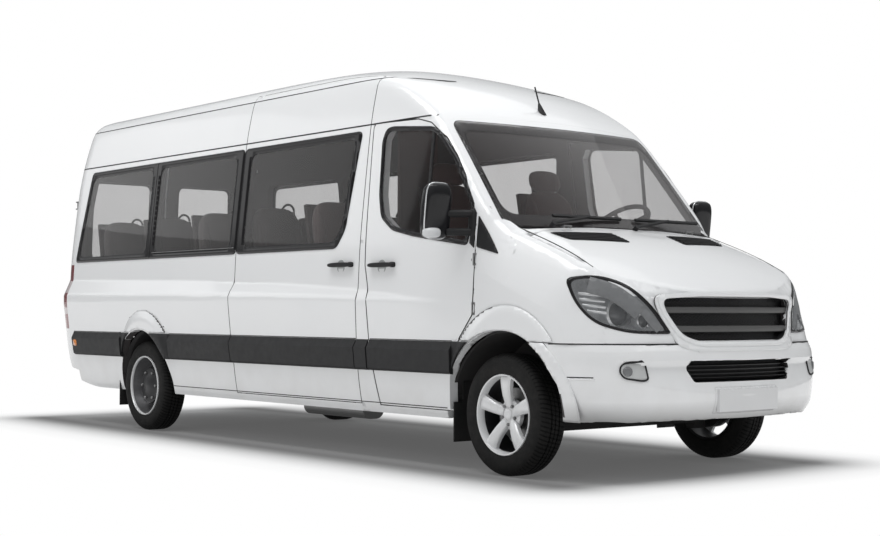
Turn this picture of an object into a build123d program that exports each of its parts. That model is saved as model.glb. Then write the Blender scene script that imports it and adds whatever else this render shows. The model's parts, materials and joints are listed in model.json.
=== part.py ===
"""High-roof minibus: hollow cab and passenger body, hinged doors and bonnet, steered front wheels.

Frame: +X forward, +Y left, +Z up, origin on the ground under the middle of the overall length.
All lengths are in millimetres and all angles in degrees.
"""
import math
import os

from build123d import *

os.makedirs("parts", exist_ok=True)

# ---------------------------------------------------------------- driving dimensions
WHEELBASE = 4325.0
FRONT_OVERHANG = 1004.0          # front axle to the front of the bumper
REAR_OVERHANG = 1616.0           # rear axle to the back of the rear bumper
DRAWING_AXLE_X = 2468.5          # front axle in the drawing's own x, which all tables use
WALL = 60.0                      # side walls, doors and roof, skin to inner trim
NOSE_WALL = 45.0                 # wings, bonnet and front panel
SEAM = 5.0                       # open joint round a fixed panel
DOOR_GAP = 7.0                   # open joint round a hinged panel
FIT = 0.3                        # running clearance at hinges and bearings
GLASS = 6.0                      # pane thickness
GLASS_INSET = 4.0                # skin to the outer face of a pane

SILL_Z = 300.0                   # lower edge of the sills
FLOOR_Z = 680.0                  # walking surface
FLOOR_DEPTH = 50.0
FLOOR_FRONT_X = 2440.0           # bulkhead
ROOF_SEAM_Z = 2143.0             # gutter between side walls and roof
CROWN_Z = 2660.0                 # roof on the centre line

TYRE_RADIUS = 348.0
TYRE_WIDTH = 195.0
RIM_RADIUS = 229.0
FRONT_WHEEL_Y = 855.0
REAR_WHEEL_Y = 870.0

FRONT_AXLE_X = DRAWING_AXLE_X
REAR_AXLE_X = FRONT_AXLE_X - WHEELBASE
FRONT_X = FRONT_AXLE_X + FRONT_OVERHANG
REAR_X = REAR_AXLE_X - REAR_OVERHANG
LENGTH = FRONT_X - REAR_X
MIDDLE_X = (FRONT_X + REAR_X) / 2
BODY_REAR_X = REAR_X + 26.0      # skin of the rear doors, inside the bumper line
SIDES = (("right", -1), ("left", 1))

# Half section of the passenger body: half width, height.
SIDE_SECTION = (
    (925.0, SILL_Z),
    (942.0, 352.0),
    (975.0, 563.0),
    (979.0, 1060.0),
    (971.0, 1144.0),
    (960.0, 1387.0),
    (919.0, 1773.0),
    (879.0, ROOF_SEAM_Z),
    (838.0, 2349.0),
    (812.0, 2430.0),
    (762.0, 2510.0),
)

# Side view of the passenger body: distance from the rear end or x, height, corner radius.
REAR_CORNER_RADIUS = 285.0
REAR_LEAN = ((0.0, 1900.0), (48.0, 2150.0), (90.0, 2350.0))
ROOF_REAR_X = 200.0              # from the rear end to the start of the crown
ROOF_LINE = (                    # x, height of the raised roof's front slope
    (300.0, CROWN_Z),
    (700.0, 2607.0),
    (1100.0, 2508.0),
    (1450.0, 2385.0),
    (1731.0, 2228.0),
)
SCREEN_TOP = (1872.0, 2116.0)
SCREEN_BASE = (2515.0, 1427.0)
COWL_END = (2560.0, 1400.0)

# Nose seen from the side: x, height.
BONNET_LINE = ((2300.0, 1500.0), (2515.0, 1430.0), (2718.0, 1362.0), (2900.0, 1290.0),
               (3053.0, 1215.0), (3200.0, 1130.0), (FRONT_X - 135.5, 1045.0))
GRILLE_TOP = (FRONT_X - 100.5, 1017.0)
GRILLE_BASE = (FRONT_X - 47.5, 757.0)
BUMPER_LINE = ((FRONT_X, 640.0), (FRONT_X, 400.0), (FRONT_X - 34.0, 318.0))
BUMPER_SEAM_Z = 757.0

# Nose shoulders at SHOULDER_X, carried forward and down by SHOULDER_FALL: half width, height.
SHOULDER_X = 2500.0
SHOULDER_FALL = 0.33
NOSE_SECTION = ((990.0, 200.0), (990.0, 1010.0), (978.0, 1075.0), (932.0, 1237.0), (842.0, 1395.0),
                (700.0, 1436.0), (0.0, 1450.0))

# Nose seen from above at two heights: height, front x, corner radius, front radius.
NOSE_HALF = 988.0
NOSE_PLANS = ((700.0, FRONT_X - 34.5, 400.0, 2250.0), (1500.0, FRONT_X - 215.5, 400.0, 1500.0))
PAST_FRONT_X = FRONT_X + 130.0   # beyond every solid of the nose
BUMPER_PLAN = (FRONT_X, 400.0, 2204.0)

ARCHES = {                       # lip centre x, z, radius and flare centre x, z, radius
    "front": (FRONT_AXLE_X + 18.5, 292.0, 534.0, FRONT_AXLE_X + 57.5, 469.0, 501.0),
    "rear": (REAR_AXLE_X + 19.5, 368.0, 422.0, REAR_AXLE_X + 66.5, 501.0, 434.0),
}
FLARE_OUT = 995.0                # how far the arch flares stand out

# Doors and windows: x, height, in side view.
SLIDER_X = (-468.0, 1075.0)
SLIDER_Z = (352.0, 2486.0)
SLIDER_TOP_Y = 752.0
DOOR_FRONT_EDGE = ((2240.0, 1290.0), (2230.0, 915.0), (2106.0, 774.0), (2019.0, 554.0), (1985.0, 352.0))
DOOR_REAR_EDGE = ((1283.0, 352.0), (1213.0, 755.0), (1184.0, 1079.0), (1145.0, 1225.0), (1117.0, 2131.0))
DOOR_TOP_EDGE = ((1584.0, 2117.0), (1720.0, 2083.0), (1878.0, 1979.0), (1982.0, 1866.0),
                 (2083.0, 1739.0), (2200.0, 1560.0))
DOOR_WINDOW = ((1240.0, 2015.0), (1280.0, 2075.0), (1745.0, 2044.0), (1815.0, 2010.0), (1990.0, 1845.0),
               (2180.0, 1565.0), (2160.0, 1333.0), (1640.0, 1405.0), (1420.0, 1450.0), (1300.0, 1530.0),
               (1258.0, 1665.0))
REAR_PANE = ((-1835.0, 1352.0), (-1835.0, 2080.0), (-2965.0, 2080.0), (-3105.0, 1352.0))
MIDDLE_PANE = ((-535.0, 1352.0), (-535.0, 2080.0), (-1765.0, 2080.0), (-1765.0, 1352.0))
SLIDER_PANE = ((-405.0, 1352.0), (800.0, 1352.0), (885.0, 1470.0), (975.0, 2080.0), (-405.0, 2080.0))
WINDOW_CORNER = 66.0
REAR_DOOR_HALF = 800.0
REAR_DOOR_Z = (705.0, 2330.0)
REAR_JOINT = 14.0                # open joint between the two rear doors
REAR_PANE_Y = (130.0, 700.0)
REAR_PANE_Z = (1370.0, 2060.0)
REAR_BUMPER_X = REAR_X + 399.5
REAR_BUMPER_Z = (400.0, 760.0)
REAR_LAMP_Z = (785.0, 1322.0)
REAR_LAMP_Y = 826.0
REAR_LAMP_FRONT_X = REAR_X + 312.5
SCREEN_HALF = (845.0, 800.0)     # half width of the windscreen at its base and its top
SCREEN_Z = (1441.0, 2098.0)

FENDER_END_X = FRONT_X - 282.5           # seam between wing and front panel
BONNET_EDGE = ((2545.0, 806.0), (2900.0, 818.0), (3095.0, 806.0), (3240.0, 733.0), (FRONT_X - 150.5, 640.0),
               (FRONT_X - 120.5, 560.0))
BONNET_FRONT_X = FRONT_X - 72.5
BONNET_LIP = 12.0                # thickness of the bonnet along its edges
BONNET_LIP_WIDTH = 36.0
LAMP_OUTLINE = ((1450.0, 1111.0), (1605.0, 1128.0), (1768.0, 1084.0), (1902.0, 975.0), (2005.0, 822.0),
                (1789.0, 824.0), (1605.0, 876.0), (1503.0, 980.0))
GRILLE_HALF = (545.0, 432.0)     # half width at top and at base
GRILLE_Z = (1014.0, 775.0)
INTAKE_HALF = (455.0, 392.0)
INTAKE_Z = (657.0, 554.0)
PLATE_SIZE = (490.0, 120.0)
PLATE_Z = 448.0

STRIP_Z = (563.0, 757.0)         # dark side strip
STRIP_DEPTH = 12.0

HINGE_PIN = 4.5                  # radius of the hinge pins
HINGE_BARREL = 8.0               # outer radius of the barrels on the doors
HINGE_HEIGHT = 46.0

# ---------------------------------------------------------------- outlines to solids


def outline_face(plane, points, corner=0.0):
    """Closed outline in a plane, with every corner rounded to one radius where it is given."""
    if corner:
        edge = FilletPolyline(*points, radius=corner, close=True)
    else:
        edge = Polyline(*points, close=True)
    return plane * make_face(edge)


def prism_y(points, y_low, y_high, corner=0.0):
    """Prism along Y with a side-view outline of x, z points."""
    face = outline_face(Plane.XZ, points, corner)
    return Pos(0, y_high, 0) * extrude(face, amount=y_high - y_low)


def prism_x(points, x_low, x_high, corner=0.0):
    """Prism along X with a front-view outline of y, z points."""
    face = outline_face(Plane.YZ, points, corner)
    return Pos(x_low, 0, 0) * extrude(face, amount=x_high - x_low)


def prism_z(points, z_low, z_high, corner=0.0):
    """Prism along Z with a plan outline of x, y points."""
    face = outline_face(Plane.XY, points, corner)
    return Pos(0, 0, z_low) * extrude(face, amount=z_high - z_low)


def block(x_span, y_span, z_span):
    """Box between three pairs of limits."""
    size = [abs(high - low) for low, high in (x_span, y_span, z_span)]
    centre = [(high + low) / 2 for low, high in (x_span, y_span, z_span)]
    return Pos(*centre) * Box(*size)


def rod_y(x, z, radius, y_low, y_high):
    """Round bar along Y."""
    return Pos(x, (y_low + y_high) / 2, z) * Rot(90, 0, 0) * Cylinder(radius, abs(y_high - y_low))


def rod_x(y, z, radius, x_low, x_high):
    """Round bar along X."""
    return Pos((x_low + x_high) / 2, y, z) * Rot(0, 90, 0) * Cylinder(radius, abs(x_high - x_low))


def rod_z(x, y, radius, z_low, z_high):
    """Upright round bar."""
    return Pos(x, y, (z_low + z_high) / 2) * Cylinder(radius, abs(z_high - z_low))


def half_space(side, reach=1300.0):
    """Everything on one side of the centre plane."""
    return block((REAR_X - 100, FRONT_X + 100), (0, side * reach), (-50, 3000))


def save(node, *solids):
    """Write the solids of one node to its file."""
    flat = []
    for shape in solids:
        flat += list(shape.solids())
    placed = [Pos(-MIDDLE_X, 0, 0) * solid for solid in flat]
    result = placed[0] if len(placed) == 1 else Compound(children=placed)
    result.label = node
    export_step(result, f"parts/{node}.step")
    built[node] = flat


built = {}

# ---------------------------------------------------------------- outer and inner forms


def body_section(inset, bottom):
    """Front-view outline of the passenger body, moved in by inset, open down to bottom."""
    side = [(half - inset, height) for half, height in SIDE_SECTION[1:-1]]
    top_half, top_height = SIDE_SECTION[-1]
    edge = (top_half - inset, top_height - inset * 0.8)
    side = [(SIDE_SECTION[0][0] - inset, bottom)] + side + [edge]
    right = Polyline(*[(-half, height) for half, height in side])
    left = Polyline(*[(half, height) for half, height in side])
    crown = ThreePointArc((-edge[0], edge[1]), (0, CROWN_Z - inset), (edge[0], edge[1]))
    base = Line((-side[0][0], bottom), (side[0][0], bottom))
    return Plane.YZ * make_face([right, left, crown, base])


def body_profile(inset, bottom):
    """Side-view outline of the passenger body down to bottom."""
    rear = [(BODY_REAR_X + inset + lean, height) for lean, height in REAR_LEAN]
    top_rear = [(BODY_REAR_X + inset + 112, CROWN_Z - 190 - inset * 0.6),
                (BODY_REAR_X + inset + 165, CROWN_Z - 60 - inset * 0.9),
                (BODY_REAR_X + inset + ROOF_REAR_X + 80, CROWN_Z - inset + 1)]
    roof = [(x, height - inset + (1 if height == CROWN_Z else 0)) for x, height in ROOF_LINE]
    slope = math.hypot(SCREEN_BASE[0] - SCREEN_TOP[0], SCREEN_TOP[1] - SCREEN_BASE[1])
    push = (inset * (SCREEN_TOP[1] - SCREEN_BASE[1]) / slope, inset * (SCREEN_BASE[0] - SCREEN_TOP[0]) / slope)
    screen = [(x - push[0], z - push[1]) for x, z in (SCREEN_TOP, SCREEN_BASE)]
    points = [(BODY_REAR_X + inset, bottom)] + rear + top_rear + roof + screen
    points += [(COWL_END[0] - inset, COWL_END[1] - inset), (COWL_END[0] - inset, bottom)]
    return prism_y(points, -1100, 1100)


def body_plan(inset):
    """Plan prism with the two rounded rear corners."""
    rear = BODY_REAR_X + inset
    half = SIDE_SECTION[3][0] + 20 - inset
    centre_face = Polyline((rear, 0), (rear, -half), (2700, -half), (2700, half), (rear, half), close=True)
    solid = extrude(make_face(centre_face), amount=3000)
    upright = [e for e in solid.edges().filter_by(Axis.Z) if abs(e.center().X - rear) < 1]
    upright = [e for e in upright if abs(e.center().Y) > 1]
    return fillet(upright, REAR_CORNER_RADIUS - inset)


def body_block(inset=0.0, bottom=SILL_Z):
    """Solid passenger body, every face moved in by inset."""
    section = Pos(REAR_X - 10, 0, 0) * extrude(body_section(inset, bottom), amount=LENGTH)
    return section & body_profile(inset, bottom) & body_plan(inset)


def nose_plan_face(front_x, half, corner, front_radius, z):
    """Plan outline of the nose: flat sides, corner arcs, and one wide arc across the front."""
    centre_x = front_x - front_radius
    corner_y = half - corner
    corner_x = centre_x + math.sqrt((front_radius - corner) ** 2 - corner_y ** 2)
    angle = math.atan2(corner_y, corner_x - centre_x)
    meet = (centre_x + front_radius * math.cos(angle), front_radius * math.sin(angle))
    middle = math.radians(90) / 2 + angle / 2
    bulge = (corner_x + corner * math.cos(middle), corner_y + corner * math.sin(middle))
    back = 1900.0
    edges = [
        Line((back, -half), (corner_x, -half)),
        ThreePointArc((corner_x, -half), (bulge[0], -bulge[1]), (meet[0], -meet[1])),
        ThreePointArc((meet[0], -meet[1]), (front_x, 0), meet),
        ThreePointArc(meet, bulge, (corner_x, half)),
        Line((corner_x, half), (back, half)),
        Line((back, half), (back, -half)),
    ]
    return Pos(0, 0, z) * make_face(edges)


def nose_block(inset=0.0, bottom=SILL_Z):
    """Solid nose above the bumper seam, every face moved in by inset."""
    faces = []
    for z, front_x, corner, front_radius in NOSE_PLANS:
        faces.append(nose_plan_face(front_x - inset, NOSE_HALF - inset, corner - inset, front_radius - inset, z))
    upper = loft(faces)
    low_z, low_x, low_corner, low_radius = NOSE_PLANS[0]
    low_face = nose_plan_face(low_x - inset, NOSE_HALF - inset, low_corner - inset, low_radius - inset, 100)
    lower = extrude(low_face, amount=low_z - 100)
    plan = upper + lower
    line = [(x, z - inset) for x, z in BONNET_LINE]
    front = [(GRILLE_TOP[0] - inset, GRILLE_TOP[1]), (GRILLE_BASE[0] - inset, GRILLE_BASE[1])]
    points = [(1900, bottom), (1900, 1640 - inset)] + line + front + [(GRILLE_BASE[0] - inset, bottom)]
    profile = prism_y(points, -1100, 1100)
    right = [(-(half - inset), z - inset * (0 if z < 1100 else 0.8)) for half, z in NOSE_SECTION[:-1]]
    left = [(-y, z) for y, z in reversed(right)]
    top = (0.0, NOSE_SECTION[-1][1] - inset)
    section = outline_face(Plane.YZ, right + [top] + left)
    rise = SHOULDER_FALL * (SHOULDER_X - 1900)
    section = Pos(1900, 0, rise) * section
    run = Vector(1, 0, -SHOULDER_FALL)
    shoulders = extrude(section, amount=1700 * run.length, dir=run.normalized())
    sides = Pos(1900, 0, 0) * extrude(body_section(inset, bottom), amount=1700)
    return plan & profile & shoulders & sides


def bumper_block(inset=0.0, bottom=318.0):
    """Solid front bumper below its seam, every face moved in by inset."""
    front_x, corner, front_radius = BUMPER_PLAN
    face = nose_plan_face(front_x - inset, NOSE_HALF - inset, corner - inset, front_radius - inset, 200)
    plan = extrude(face, amount=BUMPER_SEAM_Z - 200)
    line = [(x - inset, z) for x, z in BUMPER_LINE]
    points = [(2500, BUMPER_SEAM_Z), (GRILLE_BASE[0] + 6 - inset, BUMPER_SEAM_Z)] + line
    points[-1] = (points[-1][0], bottom)
    points += [(2500, bottom)]
    sides = Pos(1900, 0, 0) * extrude(body_section(inset, bottom), amount=1700)
    return plan & prism_y(points, -1100, 1100) & sides


def arch_cut(name, extra=0.0):
    """Round wheel opening through one side of the body, or both."""
    x, z, radius = ARCHES[name][:3]
    return rod_y(x, z, radius + extra, -1200, 1200)


def flare(name, side):
    """Raised ring round a wheel opening, from the skin out to the flare line."""
    x, z, radius, flare_x, flare_z, flare_radius = ARCHES[name]
    outer_y = side * FLARE_OUT
    inner_y = side * (FLARE_OUT - 26)
    ring = rod_y(flare_x, flare_z, flare_radius, inner_y, outer_y) - arch_cut(name)
    return ring - block((flare_x - 700, flare_x + 700), (inner_y - 40, inner_y + 40), (0, BUMPER_SEAM_Z))


body_outer = body_block(0)
body_inner = body_block(WALL, 100)
body_shell = body_outer - body_inner
nose_outer = nose_block(0)
nose_shell = nose_outer - nose_block(NOSE_WALL, 100)
pane_layer = body_block(GLASS_INSET, 200) - body_block(GLASS_INSET + GLASS, 100)

# ---------------------------------------------------------------- doors and windows as cutters


def widened(points, gap):
    """Side-view outline grown outwards by gap."""
    return offset(outline_face(Plane.XZ, points), amount=gap, kind=Kind.INTERSECTION)


DOOR_OUTLINE = DOOR_FRONT_EDGE + DOOR_REAR_EDGE + DOOR_TOP_EDGE


def door_zone(side, gap=0.0):
    """Everything inside a front door's outline, on one side."""
    face = widened(DOOR_OUTLINE, gap) if gap else outline_face(Plane.XZ, DOOR_OUTLINE)
    prism = extrude(face, amount=1200 * -side)
    return prism & block((900, 2400), (side * 700, side * 1200), (200, 2500))


def slider_zone(gap=0.0):
    """Everything inside the sliding door's outline, on the right."""
    x_span = (SLIDER_X[0] - gap, SLIDER_X[1] + gap)
    return block(x_span, (-1200, -SLIDER_TOP_Y + gap), (SLIDER_Z[0] - gap, SLIDER_Z[1] + gap))


def rear_door_zone(gap=0.0):
    """Everything inside the pair of rear doors."""
    reach = REAR_DOOR_HALF + gap
    return block((REAR_X, BODY_REAR_X + 320), (-reach, reach), (REAR_DOOR_Z[0] - gap, REAR_DOOR_Z[1] + gap))


def side_pane(outline, side):
    """Window opening in a side wall."""
    return prism_y(outline, *sorted((side * 700, side * 1200)), corner=WINDOW_CORNER)


def rear_pane(side):
    """Window opening in a rear door."""
    low, high = sorted((side * REAR_PANE_Y[0], side * REAR_PANE_Y[1]))
    corners = ((low, REAR_PANE_Z[0]), (high, REAR_PANE_Z[0]), (high, REAR_PANE_Z[1]), (low, REAR_PANE_Z[1]))
    return prism_x(corners, REAR_X - 20, REAR_X + 400, corner=WINDOW_CORNER)


def door_pane(side):
    """Window opening in a front door."""
    return prism_y(DOOR_WINDOW, *sorted((side * 700, side * 1200)))


base_half, top_half = SCREEN_HALF
base_z, top_z = SCREEN_Z
screen_opening = prism_x(
    ((-base_half, base_z), (base_half, base_z), (top_half, top_z), (-top_half, top_z)), 1650, 2700, corner=60)

roof_zone = block((REAR_X - 10, FRONT_X), (-1200, 1200), (ROOF_SEAM_Z, 2900))
bumper_zone = block((REAR_X - 10, REAR_BUMPER_X), (-1200, 1200), (REAR_BUMPER_Z[0] - 200, REAR_BUMPER_Z[1]))
cab_start_x = SLIDER_X[1] + SEAM
front_arch = arch_cut("front")
rear_arch = arch_cut("rear")

# ---------------------------------------------------------------- hinges

pins = []


def hinge_pocket(x, y, z):
    """Clear space round one hinge, cut from the door and from the frame."""
    return rod_z(x, y, HINGE_BARREL + 7, z - HINGE_HEIGHT / 2 - 14, z + HINGE_HEIGHT / 2 + 14)


def hinge_barrel(x, y, z, reach):
    """Barrel with its leaf, part of a door; reach is the leaf's far corner in x and y."""
    span = (z - HINGE_HEIGHT / 2, z + HINGE_HEIGHT / 2)
    leaf = block(sorted((x, reach[0])), sorted((y, reach[1])), span)
    return rod_z(x, y, HINGE_BARREL, *span) + leaf - rod_z(x, y, HINGE_PIN + FIT, *span)


def hinge_pin(x, y, z, reach):
    """Pin held above and below the barrel by lugs that seat in the frame."""
    low, high = z - HINGE_HEIGHT / 2, z + HINGE_HEIGHT / 2
    pin = rod_z(x, y, HINGE_PIN, low - 12, high + 12)
    lugs = []
    for z_low, z_high in ((low - 12, low - 2), (high + 2, high + 12)):
        lugs.append(block(sorted((x, reach[0])), sorted((y, reach[1])), (z_low, z_high)))
    return pin + lugs


# ---------------------------------------------------------------- body panels

wall_lower = body_shell - roof_zone - rear_door_zone(SEAM) - bumper_zone - rear_arch
roof = (body_shell & roof_zone) - rear_door_zone(DOOR_GAP) - slider_zone(SEAM)
save("roof", roof)

behind_cab = block((REAR_X - 10, cab_start_x), (-1200, 1200), (SILL_Z, 2900))
side_walls = (wall_lower - rear_door_zone(DOOR_GAP)) & behind_cab
side_panes = [pane_layer & side_pane(SLIDER_PANE, -1)]
for name, side in SIDES:
    wall = side_walls & half_space(side)
    openings = [side_pane(outline, side) for outline in (REAR_PANE, MIDDLE_PANE)]
    if side < 0:
        wall -= slider_zone(SEAM)
    else:
        openings.append(side_pane(SLIDER_PANE, side))
    side_panes += [pane_layer & opening for opening in openings]
    wall = wall - openings + flare("rear", side)
    save(f"side_{name}", wall)
save("side_glass", *side_panes)

slider = (body_shell & slider_zone()) - side_pane(SLIDER_PANE, -1)
runner_x = (SLIDER_X[0] + 60, SLIDER_X[1] - 60)
runners = []
for x in runner_x:
    runners.append(block((x - 25, x + 25), (-925, -895), (SLIDER_Z[0] - SEAM, SLIDER_Z[0] + 20)))
    runners.append(block((x - 25, x + 25), (-800, -775), (SLIDER_Z[1] - 20, SLIDER_Z[1] + SEAM)))
save("sliding_door", slider + runners)

cab_end_x = BONNET_EDGE[0][0] - DOOR_GAP
cab_shell = (body_shell - roof_zone - nose_outer) & block((cab_start_x, cab_end_x), (-1200, 1200), (SILL_Z, 2900))
cab_frame = cab_shell - screen_opening - front_arch
for name, side in SIDES:
    cab_frame -= door_zone(side, DOOR_GAP)
save("windscreen", pane_layer & screen_opening)

# ---------------------------------------------------------------- hinged doors

FRONT_HINGE = (2241.0, 976.0, (950.0, 1235.0))       # x, y from the centre plane, heights
REAR_HINGE = (REAR_X + 8.5, REAR_DOOR_HALF, (900.0, 1850.0))

wing_front_pockets = []
for name, side in SIDES:
    hinge_x, hinge_y, heights = FRONT_HINGE
    leaf = (body_shell & door_zone(side)) - door_pane(side)
    for z in heights:
        pocket = hinge_pocket(hinge_x, side * hinge_y, z)
        wing_front_pockets.append(pocket)
        leaf -= pocket
        leaf += hinge_barrel(hinge_x, side * hinge_y, z, (hinge_x - 26, side * (hinge_y - 12)))
        pins.append(hinge_pin(hinge_x, side * hinge_y, z, (hinge_x + 15, side * (hinge_y - 12))))
    save(f"door_{name}", leaf)
    save(f"glass_door_{name}", pane_layer & door_pane(side))

for name, side in SIDES:
    hinge_x, hinge_y, heights = REAR_HINGE
    zone = rear_door_zone() & half_space(side)
    zone -= block((REAR_X, 0), (-REAR_JOINT / 2, REAR_JOINT / 2), (0, 3000))
    leaf = (body_shell & zone) - rear_pane(side)
    for z in heights:
        leaf += hinge_barrel(hinge_x, side * hinge_y, z, (BODY_REAR_X + 25, side * (hinge_y - 14)))
        pins.append(hinge_pin(hinge_x, side * hinge_y, z, (BODY_REAR_X + 35, side * (hinge_y + 18))))
    save(f"rear_door_{name}", leaf)
    save(f"glass_rear_door_{name}", pane_layer & rear_pane(side))

# ---------------------------------------------------------------- nose panels

bonnet_right = [(x, -y) for x, y in BONNET_EDGE]
bonnet_left = [(x, y) for x, y in reversed(BONNET_EDGE)]
bonnet_outline = bonnet_right + [(BONNET_FRONT_X, -440.0), (BONNET_FRONT_X, 440.0)] + bonnet_left


def bonnet_zone(gap=0.0):
    """Everything inside the bonnet's plan outline, grown by gap."""
    face = outline_face(Plane.XY, bonnet_outline)
    if gap:
        face = offset(face, amount=gap, kind=Kind.INTERSECTION)
    return Pos(0, 0, 1015) * extrude(face, amount=600)


def lamp_zone(side):
    """Headlamp outline carried through the nose corner along its diagonal."""
    diagonal = Plane(origin=(0, 0, 0), x_dir=(1, -side, 0), z_dir=(-side, -1, 0))
    points = [(s, z) for s, z in LAMP_OUTLINE]
    face = outline_face(diagonal, points)
    solid = extrude(face, amount=3500, both=True)
    return solid & block((2700, PAST_FRONT_X), (side * 480, side * 1100), (700, 1300))


wing_zone = [(x + DOOR_GAP, z) for x, z in DOOR_FRONT_EDGE]
wing_outline = [(wing_zone[0][0], 1640.0)] + wing_zone + [(wing_zone[-1][0], 200.0)]
wing_outline += [(FENDER_END_X, 200.0), (FENDER_END_X, 1640.0)]
wing_space = prism_y(wing_outline, -1200, 1200)
below_seam = block((2500, FRONT_X), (-1200, 1200), (0, BUMPER_SEAM_Z))
lamp_zones = {name: lamp_zone(side) for name, side in SIDES}
fixed_nose = nose_shell - bonnet_zone(DOOR_GAP) - below_seam - front_arch
fixed_nose = fixed_nose - lamp_zones["right"] - lamp_zones["left"]

scuttle = fixed_nose & block((SCREEN_BASE[0] - 240, 2700), (-806, 806), (900, 1640))
for name, side in SIDES:
    wing = (fixed_nose & wing_space & half_space(side)) - scuttle - wing_front_pockets
    save(f"wing_{name}", wing + flare("front", side))
bulkhead = block((FLOOR_FRONT_X, FLOOR_FRONT_X + 40), (-1200, 1200), (FLOOR_Z - FLOOR_DEPTH, 1500))
cab_frame += scuttle + ((bulkhead & nose_block(NOSE_WALL, 100)) - front_arch)
save("cab_frame", cab_frame)

grille_opening = prism_x(
    ((-GRILLE_HALF[1], GRILLE_Z[1]), (GRILLE_HALF[1], GRILLE_Z[1]),
     (GRILLE_HALF[0], GRILLE_Z[0]), (-GRILLE_HALF[0], GRILLE_Z[0])), FENDER_END_X - 90, PAST_FRONT_X, corner=40)
front_panel = fixed_nose & block((FENDER_END_X, PAST_FRONT_X), (-1200, 1200), (0, 1500))
save("front_panel", front_panel - grille_opening)
save("headlamps", *[(nose_shell & zone) - bonnet_zone(DOOR_GAP) for zone in lamp_zones.values()])
bonnet_skin = (nose_outer - nose_block(BONNET_LIP, 100)) & bonnet_zone()
save("bonnet", bonnet_skin + (nose_shell & bonnet_zone(-BONNET_LIP_WIDTH)))

intake_opening = prism_x(
    ((-INTAKE_HALF[1], INTAKE_Z[1]), (INTAKE_HALF[1], INTAKE_Z[1]),
     (INTAKE_HALF[0], INTAKE_Z[0]), (-INTAKE_HALF[0], INTAKE_Z[0])), FENDER_END_X - 90, PAST_FRONT_X, corner=25)
bumper_shell = bumper_block(0) - bumper_block(WALL, 100)
bumper_front = bumper_shell - rod_y(FRONT_AXLE_X, TYRE_RADIUS, 573, -1200, 1200) - intake_opening
save("bumper_front", bumper_front)

# ---------------------------------------------------------------- bonnet hinge, rear bumper, lamps, trim

BONNET_HINGE = (BONNET_EDGE[0][0] + 4.0, BONNET_LINE[1][1] + 2.0, (-520.0, 520.0))
BONNET_LEAF = 40.0               # length of a bonnet hinge barrel
bonnet = built["bonnet"][0]
bonnet_pins = []
hinge_x, hinge_z, hinge_ys = BONNET_HINGE
for y in hinge_ys:
    span = (y - BONNET_LEAF / 2, y + BONNET_LEAF / 2)
    bore = rod_y(hinge_x, hinge_z, HINGE_PIN + FIT, *span)
    bonnet -= rod_y(hinge_x, hinge_z, HINGE_BARREL + 7, span[0] - 19, span[1] + 19)
    bonnet += rod_y(hinge_x, hinge_z, HINGE_BARREL, *span)
    bonnet += block((hinge_x, hinge_x + 20), span, (hinge_z - 40, hinge_z))
    bonnet -= bore
    pin = rod_y(hinge_x, hinge_z, HINGE_PIN, span[0] - 12, span[1] + 12)
    for low in (span[0] - 12, span[1] + 2):
        pin += block((hinge_x - 22, hinge_x), (low, low + 10), (hinge_z - 13, hinge_z))
    bonnet_pins.append(pin)
save("bonnet", bonnet)
frame_sides = built["side_right"] + built["side_left"] + built["wing_right"] + built["wing_left"]
frame_sides += built["cab_frame"]
hinge_solids = []
for pin in pins + bonnet_pins:
    hinge_solids.append(pin - frame_sides)
save("hinges", *hinge_solids)

bumper_skin = body_block(0.0) - body_block(WALL, 100)
rear_face = block((REAR_X, BODY_REAR_X), (-REAR_DOOR_HALF + 60, REAR_DOOR_HALF - 60), REAR_BUMPER_Z)
bumper_rear = (bumper_skin & bumper_zone & block((REAR_X, 0), (-1200, 1200), REAR_BUMPER_Z))
bumper_rear = (bumper_rear + rear_face) - rear_door_zone(DOOR_GAP)
bumper_rear -= block((REAR_X - 1, BODY_REAR_X + 90), (-REAR_DOOR_HALF, REAR_DOOR_HALF), (REAR_DOOR_Z[0] - 8, 900))
save("bumper_rear", bumper_rear)

lamp_depth = body_block(-3.0) - body_block(26.0, 100)
tail_lamps = []
for name, side in SIDES:
    zone = block((REAR_X - 5, REAR_LAMP_FRONT_X), sorted((side * REAR_LAMP_Y, side * 1200)), REAR_LAMP_Z)
    tail_lamps.append(lamp_depth & zone)
    side_panel = built[f"side_{name}"][0] - tail_lamps[-1]
    side_panel -= hinge_solids
    save(f"side_{name}", side_panel)
save("tail_lamps", *tail_lamps)

strip_layer = body_block(-STRIP_DEPTH) - body_outer
strip_band = block((REAR_X, FRONT_X), (-1200, 1200), STRIP_Z)
strip_room = strip_layer & strip_band
flares_rear = rod_y(ARCHES["rear"][3], ARCHES["rear"][4], ARCHES["rear"][5], -1200, 1200)
flares_front = rod_y(ARCHES["front"][3], ARCHES["front"][4], ARCHES["front"][5], -1200, 1200)
body_span = block((REAR_BUMPER_X + 2, SLIDER_X[1]), (-1200, 1200), (0, 900))
body_strip = (strip_room & body_span) - flares_rear - slider_zone(SEAM)
slider_strip = strip_room & slider_zone()
pillar_strip = strip_room & block((cab_start_x, 1400), (-1200, 1200), (0, 900))
for name, side in SIDES:
    pillar_strip -= door_zone(side, DOOR_GAP)
    save(f"strip_door_{name}", (strip_room & door_zone(side)) - flares_front)
save("strips", body_strip, slider_strip, pillar_strip)

# ---------------------------------------------------------------- floor, wheelhouses, underframe

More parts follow.
